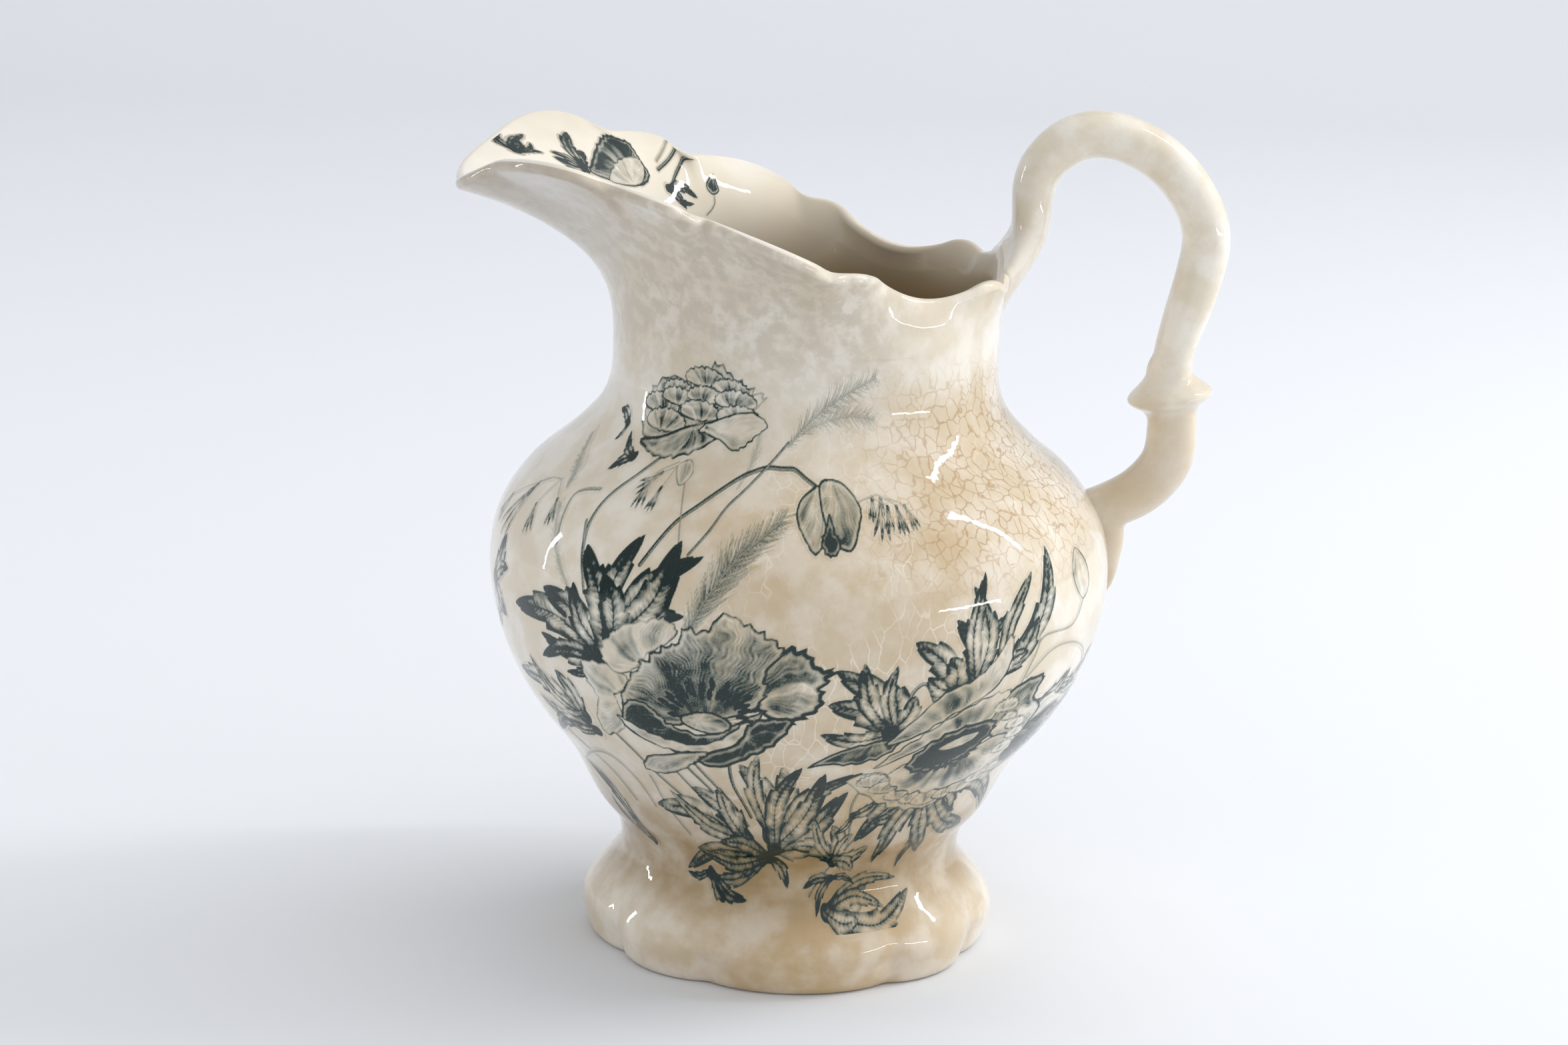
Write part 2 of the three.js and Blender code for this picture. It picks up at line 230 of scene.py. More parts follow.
def footRings():
    # the outside from the waist down to the standing face, then the hollow inside up to the joint
    f = foot
    standing = f["radius"] - 0.5 * f["edgeHeight"]
    rings = []

    def ring(radius, depth, height):
        rings.append(circle(radius - depth * (1 - columnLobe), height))

    for out, height in evenSpline(f["profile"], f["outsideRows"]):
        low = np.clip((f["height"] + 4 - height) / f["height"], 0, 1)
        depth = f["notchDepth"] * np.clip(1.35 * low ** 2.6, 0.02, 1)
        ring(vessel["waistRadius"] + out, depth, height)
    outside = np.array(rings)
    rings.clear()
    innerFoot = standing - f["standingRing"]
    innerTop = vessel["waistRadius"] - f["wall"]
    ring(standing - 0.6, f["notchDepth"], 0)
    ring(innerFoot + 1, f["notchDepth"], 0)
    ring(innerFoot, f["notchDepth"], f["innerEdge"])
    for t in np.linspace(0.06, 1, f["insideRows"]):
        height = f["innerEdge"] + (f["height"] - f["innerEdge"]) * t
        radius = innerTop + (innerFoot - innerTop) * (1 - t) ** 1.3
        ring(radius, f["notchDepth"] * (1 - t), height)
    return outside, np.array(rings)


def place(points):
    # from millimetres about the vessel's axis to the frame's metres
    placed = np.array(points, float).reshape(-1, 3) * mm
    placed[:, 0] += axisX
    return placed


def clearSelection():
    bpy.ops.object.select_all(action="DESELECT")


def wrapSheet(name, rings, start=None, end=None):
    # a grid sheet is laid over the rings, then its two long edges are merged
    rows, count = rings.shape[:2]
    clearSelection()
    bpy.ops.mesh.primitive_grid_add(x_subdivisions=count, y_subdivisions=rows - 1, size=1, calc_uvs=False)
    piece = bpy.context.object
    piece.name = name
    sheet = np.concatenate([rings, rings[:, :1]], 1)
    if start is not None:
        sheet[0] = start
    if end is not None:
        sheet[-1] = end
    piece.data.vertices.foreach_set("co", place(sheet).ravel())
    bpy.ops.object.mode_set(mode="EDIT")
    bpy.ops.mesh.select_all(action="SELECT")
    bpy.ops.mesh.remove_doubles(threshold=2e-6)
    bpy.ops.object.mode_set(mode="OBJECT")
    bpy.ops.object.shade_smooth()
    return piece


footOutside, footInside = footRings()
outerWall[0] = footOutside[0]
floorEdge = vessel["floorHeight"]

keepInner = innerWall[:, :, 2].min(axis=1) > floorEdge + vessel["cornerDepth"]
lowest = innerWall[np.argmax(keepInner)]
corner = []
for t in np.linspace(0.15, 1, vessel["cornerRows"]):
    bend = t * math.pi / 2
    shrink = 1 - 0.2 * (1 - math.cos(bend))
    ring = lowest * [shrink, shrink, 1]
    ring[:, 2] = floorEdge + (lowest[:, 2] - floorEdge) * (1 - math.sin(bend))
    corner.append(ring)
underside = outerWall[0] * [0.93, 0.93, 1]
underside[:, 2] = vessel["undersideHeight"]
# the slip at the joint laps over the top of the foot, then tucks under its skin
lap = 1 + vessel["slipLift"] / vessel["waistRadius"]
skirt = np.concatenate([footOutside[8:9] * [0.996, 0.996, 1], footOutside[7:0:-1] * [lap, lap, 1]])
# the first and last rings close to a pole each
vesselRings = np.concatenate([
    underside[None], underside[None], skirt, outerWall, lipRings(vessel["lipSteps"]),
    innerWall[keepInner][::-1],
    np.array(corner), corner[-1][None] * [0.5, 0.5, 1], corner[-1][None]])
poles = [0, 0, vessel["undersideHeight"]], [0, 0, floorEdge]
vesselPiece = wrapSheet("pitcher_vessel", vesselRings, *poles)
# the number of the first ring past the top of the lip
firstInside = 2 + len(skirt) + len(outerWall) + (vessel["lipSteps"] + 1) // 2
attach(vesselPiece, "root")
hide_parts("vessel_body", "foot_luting_slip")

footPieceRings = np.concatenate([footOutside, footInside])
footRingsClosed = np.concatenate([footPieceRings, footPieceRings[:1]])[::-1]
footPiece = wrapSheet("pitcher_foot", footRingsClosed)
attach(footPiece, "root")
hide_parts("pedestal_foot")


def matchJoint(piece, rings):
    # the foot and the vessel are shaded as one smooth skin where they meet
    normals = gridNormals(rings)[0].reshape(-1, 3)
    points = place(rings)
    tree = KDTree(len(points))
    for k, point in enumerate(points):
        tree.insert(point, k)
    tree.balance()
    count = len(piece.data.vertices)
    spots, shading = np.zeros(count * 3), np.zeros(count * 3)
    piece.data.vertices.foreach_get("co", spots)
    piece.data.vertices.foreach_get("normal", shading)
    spots, shading = spots.reshape(-1, 3), shading.reshape(-1, 3)
    for n in np.nonzero(np.abs(spots[:, 2] - points[:, 2].mean()) < 0.006)[0]:
        _, k, gap = tree.find(spots[n])
        if gap < vessel["slipReach"]:
            shading[n] = normals[k]
    piece.data.normals_split_custom_set_from_vertices(shading)


jointRings = np.concatenate([footOutside[9:0:-1], outerWall[:4]])
for piece in (vesselPiece, footPiece):
    matchJoint(piece, jointRings)
print("vessel and foot:", len(vesselPiece.data.polygons), len(footPiece.data.polygons))

handle = {
    "reach": 109,
    "top": 229,
    "thickness": 13,
    "width": 15,
    "knuckleHeight": 157,
    "knuckleRadius": 12,
    "knuckleTilt": math.radians(10),
    "seatHeight": 125,
    "tailLength": 25,
    "tailWidth": 13,
    "sides": 40,
    "steps": 230,
    "rootSteps": 60,  # steps at the top that the neck's fillet may reach
    "seatSteps": 40,
    "rootColumns": 42,  # columns of the vessel that are near, to each side
    "seatColumns": 24,
    "rootFlare": 1.5,  # radius of the fillet where the loop grows out of the neck
    "seatFlare": 1.6,
    "channelDepth": 2.4,
    "channelTop": 212,
    "bowTop": 215,
    "knuckleAlong": 0.71,  # part of the way from the seat out to the reach
    "knuckleRows": 44,
    # parts of the knuckle's radius, out and up, from its top to its foot
    "knuckleOutline": [(0.3, 0.95), (0.44, 0.72), (0.5, 0.5), (0.68, 0.3), (0.88, 0.13), (0.99, 0.01),
                       (0.96, -0.1), (0.8, -0.22), (0.66, -0.32), (0.58, -0.5), (0.5, -0.75), (0.3, -0.95)],
    # part of the tail's length below the seat, how proud, thickness, part of the tail's width
    "tailRows": [(-0.1, 7, 12, 1), (0.25, 6.2, 11, 1), (0.6, 4.2, 9, 0.75), (0.85, 2.8, 7, 0.45),
                 (1.03, 0.8, 5, 0.15)],
    "skin": 0.0006,  # size of the cells that melt loop, knuckle and tail together
}


def outsideRadius(height):
    curve = profileCurve(600)
    return float(np.interp(height, curve[:, 1], curve[:, 0]))


def sweep(stations, steps, sides, smoothing):
    # rings of a bar swept through (x, z, thick, wide)
    line = evenSpline(stations, steps)
    for _ in range(smoothing):
        line[1:-1] = 0.5 * line[1:-1] + 0.25 * (line[:-2] + line[2:])
    tangent = unit(np.gradient(line[:, :2], axis=0))
    side = np.stack([-tangent[:, 1], tangent[:, 0]], 1)
    turn = np.arange(sides) * 2 * math.pi / sides
    c, s = (np.sign(v) * np.abs(v) ** 0.95 for v in (np.cos(turn), np.sin(turn)))
    rings = np.zeros((steps, sides, 3))
    rings[:, :, 0] = line[:, :1] + side[:, :1] * s * line[:, 2:3] / 2
    rings[:, :, 2] = line[:, 1:2] + side[:, 1:] * s * line[:, 2:3] / 2
    rings[:, :, 1] = c * line[:, 3:4] / 2
    return rings, line, side


def handleStations():
    h = handle
    seat = outsideRadius(h["seatHeight"])
    root = vessel["neckRadius"] - vessel["wall"] / 2
    spans = {
        "upper": (root, vessel["rimHeight"], h["top"]),
        "down": (root, h["top"], h["knuckleHeight"]),
        "lower": (seat, h["knuckleHeight"], h["seatHeight"]),
    }
    rows = []
    # span, part of the way out, part of the way along, and parts of the thickness and width
    for span, across, drop, thick, wide in [
        ("upper", 0, -0.34, 0.2, 1.5), ("upper", 0.012, -0.11, 0.6, 2.1),
        ("upper", 0.088, 0.12, 0.74, 2.15), ("upper", 0.142, 0.28, 0.84, 1.6),
        ("upper", 0.16, 0.41, 0.88, 1.22), ("upper", 0.166, 0.56, 0.88, 1.06),
        ("upper", 0.2, 0.765, 0.94, 1), ("upper", 0.33, 0.95, 1, 1), ("upper", 0.5, 1, 1, 1),
        ("down", 0.69, 0.05, 1, 1), ("down", 0.84, 0.14, 1, 1), ("down", 0.955, 0.27, 1, 1),
        ("down", 1, 0.4, 1.02, 1), ("down", 0.97, 0.55, 1, 1), ("down", 0.92, 0.7, 0.94, 1),
        ("down", 0.875, 0.84, 0.84, 0.95), ("lower", 0.72, 0, 0.95, 1),
        ("lower", 0.76, 0.3, 1.08, 1.05), ("lower", 0.72, 0.6, 1.08, 1.05),
        ("lower", 0.48, 0.85, 1.05, 1.05), ("lower", 0.15, 1, 0.98, 1), ("lower", -0.25, 1.12, 0.92, 0.95),
    ]:
        x0, z0, z1 = spans[span]
        spot = x0 + (h["reach"] - x0) * across, z0 + (z1 - z0) * drop
        rows.append((*spot, h["thickness"] * thick, h["width"] * wide))
    return rows


def nearHandle(rings, each):
    # the vessel's points on both sides of the handle
    return np.concatenate([rings[:, :each], rings[:, -each:]], 1).reshape(-1, 3)


def growFlare(rings, line, wallPoints, halfWidth, radius, first, last, start=0):
    # pushes the bar out near the wall, as a round fillet does; nothing moves below the start's height
    centre = np.zeros((len(line), 1, 3))
    centre[:, 0, 0], centre[:, 0, 2] = line[:, 0], line[:, 1]
    for k in range(first, last):
        gap = np.linalg.norm(rings[k][:, None] - wallPoints[None], axis=2).min(axis=1) - halfWidth
        rest = np.clip(radius - np.maximum(gap, 0), 0, radius)
        push = (radius - np.sqrt(radius ** 2 - rest ** 2)) * np.clip((line[k, 1] - start) / 9, 0, 1)
        rings[k] += unit(rings[k] - centre[k]) * push[:, None]


def capped(rings):
    ends = [centre + 0.001 * (ring - centre) for ring,
            centre in ((r, r.mean(0)) for r in (rings[0], rings[-1]))]
    return np.concatenate([ends[0][None], rings, ends[1][None]])


loopRings, loopLine, loopSide = sweep(handleStations(), handle["steps"], handle["sides"], 10)
# the inside of the neck runs up the front of the loop as a shallow channel
turn = np.arange(handle["sides"]) * 2 * math.pi / handle["sides"]
onRoot = (np.arange(handle["steps"]) < handle["steps"] // 3)[:, None]
front = np.clip(np.sin(turn), 0, 1)[None] ** 1.5
front = front * np.clip((handle["channelTop"] - loopLine[:, 1:2]) / 30, 0, 1) ** 0.7 * onRoot
loopRings[:, :, 0] -= loopSide[:, :1] * front * handle["channelDepth"]
loopRings[:, :, 2] -= loopSide[:, 1:] * front * handle["channelDepth"]
# near the lip the loop is bowed like the neck it grows from
bow = np.clip((handle["bowTop"] - loopRings[:, :, 2]) / 20, 0, 1) * onRoot
loopRings[:, :, 0] -= bow * loopRings[:, :, 1] ** 2 / (2 * vessel["neckRadius"])
nearRoot = nearHandle(middle[50:], handle["rootColumns"])
growFlare(loopRings, loopLine, nearRoot, vessel["wall"] / 2, handle["rootFlare"], 0, handle["rootSteps"],
          vessel["rimHeight"] - 3)
nearSeat = nearHandle(outerWall[30:60], handle["seatColumns"])
growFlare(loopRings, loopLine, nearSeat, 0, handle["seatFlare"], handle["steps"] - handle["seatSteps"],
          handle["steps"])
loopPiece = wrapSheet("pitcher_handle", capped(loopRings))

seatX = outsideRadius(handle["seatHeight"])
knuckleX = seatX + (handle["reach"] - seatX) * handle["knuckleAlong"]
outline = evenSpline(handle["knuckleOutline"], handle["knuckleRows"])[::-1] * handle["knuckleRadius"]
around, up = outline[:, :1] * np.cos(turn), outline[:, 1:] + 0 * turn
c, s = math.cos(handle["knuckleTilt"]), math.sin(handle["knuckleTilt"])
knuckleRings = np.stack([
    knuckleX + c * around - s * up,
    outline[:, :1] * np.sin(turn),
    handle["knuckleHeight"] + s * around + c * up,
], 2)
knucklePiece = wrapSheet("knuckle", capped(knuckleRings))

tailRows = []
for drop, proud, thick, wide in handle["tailRows"]:
    z = handle["seatHeight"] - drop * handle["tailLength"]
    tailRows.append((outsideRadius(z) + proud - thick / 2, z, thick, wide * handle["tailWidth"]))
tailPiece = wrapSheet("tail", capped(sweep(tailRows, 60, 28, 4)[0]))


def meltTogether(pieces, cell, passes):
    # slip and glaze leave one skin over parts that were joined
    clearSelection()
    for piece in pieces:
        piece.select_set(True)
    bpy.context.view_layer.objects.active = pieces[0]
    bpy.ops.object.join()
    joined = bpy.context.object
    skin = joined.modifiers.new("oneSkin", "REMESH")
    skin.mode = "VOXEL"
    skin.voxel_size = cell
    bpy.ops.object.modifier_apply(modifier=skin.name)
    softened = joined.modifiers.new("softened", "SMOOTH")
    softened.factor = 0.5
    softened.iterations = passes
    bpy.ops.object.modifier_apply(modifier=softened.name)
    bpy.ops.object.shade_smooth()
    return joined


handlePiece = meltTogether([loopPiece, knucklePiece, tailPiece], handle["skin"], 10)
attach(handlePiece, "root")
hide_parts("handle", "upper_luting_slip", "lower_luting_slip")
print("handle:", len(handlePiece.data.polygons))

# The transfer print is drawn flat, as (degrees round from the middle of the front, millimetres up).
sheetRules = {
    "perDegree": 1.4,  # millimetres of belly to a degree
    "cell": 0.27,
    "insideCell": 0.16,
    "backStep": 2,
    # degrees from and to, millimetres from and to
    "front": (-88, 84, 17, 176),
    "inside": (190, 262, 192, 226),
}


def newSheet(left, right, low, high, cell=sheetRules["cell"]):
    x = np.arange(left * sheetRules["perDegree"], right * sheetRules["perDegree"], cell)
    y = np.arange(low, high, cell)
    return {"x": x, "y": y, "ink": np.zeros((len(y), len(x))), "cell": cell}


def flat(points):
    return np.asarray(points, float) * [sheetRules["perDegree"], 1]


def unflat(points):
    return np.asarray(points, float) / [sheetRules["perDegree"], 1]


def turnedBy(way, angle):
    c, s = math.cos(angle), math.sin(angle)
    return np.array([c * way[0] - s * way[1], s * way[0] + c * way[1]])


def windowRound(sheet, points, margin):
    # the part of the sheet round some points, as slices and as grids of places
    low, high = points.min(0) - margin, points.max(0) + margin
    i = np.searchsorted(sheet["x"], (low[0], high[0]))
    j = np.searchsorted(sheet["y"], (low[1], high[1]))
    x, y = np.meshgrid(sheet["x"][i[0]:i[1]], sheet["y"][j[0]:j[1]])
    return (slice(j[0], j[1]), slice(i[0], i[1])), x, y


def alongLine(x, y, line):
    # how far along a line each place is, 0 to 1, how far off it with a sign, and the line's length
    steps = np.diff(line, axis=0)
    lengths = np.maximum(np.hypot(*steps.T), 1e-6)
    starts = np.concatenate([[0], np.cumsum(lengths)])
    best = np.full(x.shape, 1e9)
    along = np.zeros(x.shape)
    off = np.zeros(x.shape)
    for k, (step, length) in enumerate(zip(steps, lengths)):
        dx, dy = x - line[k, 0], y - line[k, 1]
        t = np.clip((dx * step[0] + dy * step[1]) / length ** 2, 0, 1)
        gap = np.hypot(dx - t * step[0], dy - t * step[1])
        near = gap < best
        best[near] = gap[near]
        along[near] = (starts[k] + t * length)[near]
        off[near] = (np.sign(step[0] * dy - step[1] * dx) * gap)[near]
    return along / starts[-1], off, starts[-1]


def lay(sheet, where, mask, tone):
    mask = np.clip(mask, 0, 1)
    sheet["ink"][where] = sheet["ink"][where] * (1 - mask) + mask * np.clip(tone, 0, 1)


def ripple(x, y, size, seed):
    # a soft uneven field between about -1 and 1
    total = 0
    for k in range(4):
        angle = seed * 1.7 + k * 2.4
        along = (x * math.cos(angle) + y * math.sin(angle)) * 6.28 / size
        total = total + np.sin(along * (0.7 + 0.3 * k) + seed * (k + 1))
    return total / 2.5


def blade(sheet, points, width, dark=0.5, teeth=3, tip=0.5, base=0.3, depth=0.4, seed=0):
    # one lobe of a leaf: pale in the middle, dark at its tip, base and toothed margin
    line = evenSpline(flat(points), 6 * len(points))
    where, x, y = windowRound(sheet, line, width)
    if x.size == 0:
        return
    s, off, length = alongLine(x, y, line)
    saw = (s * teeth + 0.2 * np.sign(off) + 0.1 * math.sin(seed)) % 1
    half = width / 2 * np.maximum(np.sin(math.pi * np.clip(s, 0, 1) ** 0.8), 0) ** 0.7
    half = np.maximum(half, width * 0.36 * (1 - s) ** 0.7)
    half = half * (1 + depth * (saw - 0.5) * np.clip(3 * s - 0.4, 0, 1))
    mask = (half - np.abs(off)) / sheet["cell"] + 0.5
    across = np.clip(np.abs(off) / np.maximum(half, 0.2), 0, 1)
    veins = np.sin(6.28 * (s * length - np.abs(off) * 1.1 + 0.5 * np.sin(off * 2 + seed)) / 1.7)
    tone = dark * 0.75 + 1.25 * tip * np.clip((s - 0.45) / 0.4, 0, 1) ** 1.2
    tone = tone + 1.2 * base * np.clip(1 - s / 0.35, 0, 1)
    tone += 0.5 * across ** 4 + 0.45 * np.exp(-(off / 0.24) ** 2) * (s < 0.8)
    lit = 0.5 + 0.5 * np.sin(seed * 2.3 + s * 3)
    tone += 0.34 * np.sign(off) * (lit - 0.35) * across + 0.13 * veins * (1 - across)
    tone += 0.16 * ripple(x, y, 5,
                          seed) - 0.22 * np.exp(-((across - 0.45) / 0.2) ** 2) * (s > 0.25) * (s < 0.85)
    lay(sheet, where, mask, tone)


def leaf(sheet, base, tips, width, dark=0.5, bend=0.12, core=0.75, **more):
    # lobes fan out from the base; the outer ones lie behind
    base = np.array(base, float)
    for k, tipPoint in enumerate(tips):
        tipPoint = np.array(tipPoint, float)
        span = flat(tipPoint) - flat(base)
        side = np.array([-span[1], span[0]]) * bend * (1 if k % 2 else -1)
        middle = (base + tipPoint) / 2 + unflat(side)
        size = width * (0.95 + 0.25 * math.sin(3 * k + 1))
        blade(sheet, [base, middle, tipPoint], size, dark, seed=k, **more)
    smudge(sheet, base, width * 0.42, core)


def smudge(sheet, centre, radius, tone):
    # a soft dark place that only deepens what is there
    centre = flat([centre])
    where, x, y = windowRound(sheet, centre, radius * 2)
    gap = np.hypot(x - centre[0, 0], y - centre[0, 1]) / radius
    deep = tone * np.exp(-gap ** 2)
    under = sheet["ink"][where]
    sheet["ink"][where] = np.clip(np.maximum(under, deep * np.where(under > 0.04, 1.1, 0.25)), 0, 1)


def stem(sheet, points, width=1.0, tone=0.8):
    # dark at its edges, lighter in the middle
    line = evenSpline(flat(points), 7 * len(points))
    where, x, y = windowRound(sheet, line, width)
    if x.size == 0:
        return
    s, off, _ = alongLine(x, y, line)
    mask = (width / 2 - np.abs(off)) / sheet["cell"] + 0.5
    across = np.clip(np.abs(off) / (width / 2), 0, 1)
    lay(sheet, where, mask, tone * (0.66 + 0.4 * across ** 2 - 0.12 * np.sign(off)))


def petal(sheet, outline, base, tones, rim=0.5, rimWidth=0.7, hatch=0.16, lines=90, ragged=0.35, seed=0,
          folds=0.2):
    # a petal inside a ragged outline; tones run from its base point to its far edge
    points = flat(outline)
    closed = np.concatenate([points[-1:], points, points[:2]])
    count = 5 * len(points)
    border = spline(closed, np.linspace(1, len(points) + 1, count, endpoint=False))
    centre = flat([base])[0]
    outward = unit(border - centre)
    jag = np.sin(np.arange(count) * 2.2 + seed) + 0.6 * np.sin(np.arange(count) * 3.7 + 2 * seed)
    border = border + outward * (jag * ragged)[:, None]
    where, x, y = windowRound(sheet, border, 1)
    if x.size == 0:
        return
    _, off, _ = alongLine(x, y, np.concatenate([border, border[:1]]))
    ax, ay = border.T
    bx, by = np.roll(border, -1, 0).T
    inside = np.zeros(x.shape, bool)
    for k in range(count):
        crosses = (ay[k] > y) != (by[k] > y)
        if ay[k] != by[k]:
            inside ^= crosses & (x < (bx[k] - ax[k]) * (y - ay[k]) / (by[k] - ay[k]) + ax[k])
    gap = np.where(inside, 1, -1) * np.abs(off)
    mask = gap / sheet["cell"] + 0.5
    dx, dy = x - centre[0], y - centre[1]
    reach = np.hypot(dx, dy)
    r = reach / (reach + np.maximum(gap, 0) + 1e-6)
    angle = np.arctan2(dy, dx)
    tone = np.interp(r, np.linspace(0, 1, len(tones)), tones)
    bent = angle + 0.12 * np.sin(r * 5 + seed) + 0.05 * ripple(x, y, 9, seed)
    fold = 0.55 * np.sin(bent * 5 + seed) + 0.4 * np.sin(bent * 11 + 2.3 * seed)
    fold = fold + 0.3 * np.sin(bent * 19 + seed)
    tone = tone + folds * fold * np.clip(r * 1.3, 0, 1)
    broken = np.clip(0.55 + 0.6 * ripple(x, y, 3.4, seed + 2), 0, 1)
    tone = tone + hatch * broken * np.sin(bent * lines + 2.5 * np.sin(bent * 6)) * np.clip(r * 1.5 - 0.2, 0,
                                                                                           1)
    # the rolled rim: a dark line, then a band left pale
    tone = tone * (1 - 0.5 * np.exp(-((gap - 1.5 * rimWidth) / (0.75 * rimWidth)) ** 2))
    tone += rim * np.clip(1.15 - gap / rimWidth, 0, 1) + 0.06 * ripple(x, y, 5, seed)
    lay(sheet, where, mask, tone)


def frill(sheet, points, count, size, tones, seed=0, wide=0.85):
    # a row of small overlapping petal edges, dark where they come out from under the last row
    line = evenSpline(points, count)
    draw = np.random.default_rng(seed)
    turns = np.radians([200, 235, 270, 305, 340, 20, 55, 90, 125, 160])
    for k, (across, height) in enumerate(line):
        r = size * draw.uniform(0.8, 1.2)
        tall = np.where(np.sin(turns) > 0, 0.72, 0.4) * r
        outline = np.stack([across + wide * r * np.cos(turns), height + tall * np.sin(turns)], 1)
        root = across + draw.uniform(-0.2, 0.2) * r, height - 0.6 * r
        petal(sheet, outline, root, tones, 0.55, 0.5, 0.12, 40, 0.3, seed=seed + k, folds=0.25)


def hair(sheet, start, end, width, tone):
    line = np.array([start, (start + end) / 2 + 0.05 * (end - start)[::-1] * [1, -1], end])
    where, x, y = windowRound(sheet, line, width + 0.3)
    if x.size == 0:
        return
    s, off, _ = alongLine(x, y, line)
    mask = np.clip((width / 2 * (1 - 0.7 * s) - np.abs(off)) / sheet["cell"] + 0.5, 0, 1)
    sheet["ink"][where] = np.maximum(sheet["ink"][where], mask * tone)


def plume(sheet, points, lengths, count, tone=0.6, spread=32, width=0.34, seed=1):
    # fine hairs on both sides of a bent rachis
    line = evenSpline(flat(points), count)
    tangent = unit(np.gradient(line, axis=0))
    draw = np.random.default_rng(seed)
    for k in range(count):
        length = np.interp(k / (count - 1), np.linspace(0, 1, len(lengths)), lengths)
        for side in (-1, 1):
            direction = turnedBy(tangent[k], math.radians(spread * side * draw.uniform(0.6, 1.3)))
            start = line[k] + direction * draw.uniform(0, 0.15) * length
            end = start + direction * length * draw.uniform(0.7, 1.15)
            hair(sheet, start, end, width, tone * draw.uniform(0.55, 1.1))
    stem(sheet, points, 0.5, tone)


def oat(sheet, points, size=1.5, tone=0.5):
    # a striped hanging spikelet on its thread
    stem(sheet, points, 0.35, tone)
    last, before = np.array(points[-1], float), np.array(points[-2], float)
    for k, turn in enumerate((-0.25, 0, 0.25)):
        tipPoint = unflat(flat(before) + turnedBy(flat(last) - flat(before), turn))
        points = [before, (before + tipPoint) / 2, tipPoint]
        blade(sheet, points, size, tone * 0.5, teeth=1, tip=0.35, base=0.1, depth=0, seed=k)


def stamens(sheet, centre, inner, outer, start, end, count, seed=3, clubs=1.5):
    # club-headed filaments that fan out from near the centre to an oval
    draw = np.random.default_rng(seed)
    middle = flat([centre])[0]
    for k in range(count):
        angle = math.radians(start + (end - start) * (k + 0.5 * draw.uniform(-1, 1)) / (count - 1))
        way = np.array([math.cos(angle), math.sin(angle)])
        a = middle + way * inner
        b = middle + way * np.array(outer) * draw.uniform(0.84, 1.08)
        hair(sheet, a, b, 0.5, 0.55)
        way = unit((b - a)[None])[0]
        blade(sheet, unflat([b - way * clubs, b, b + way * clubs]), 1.25, 1.4, teeth=1, depth=0)


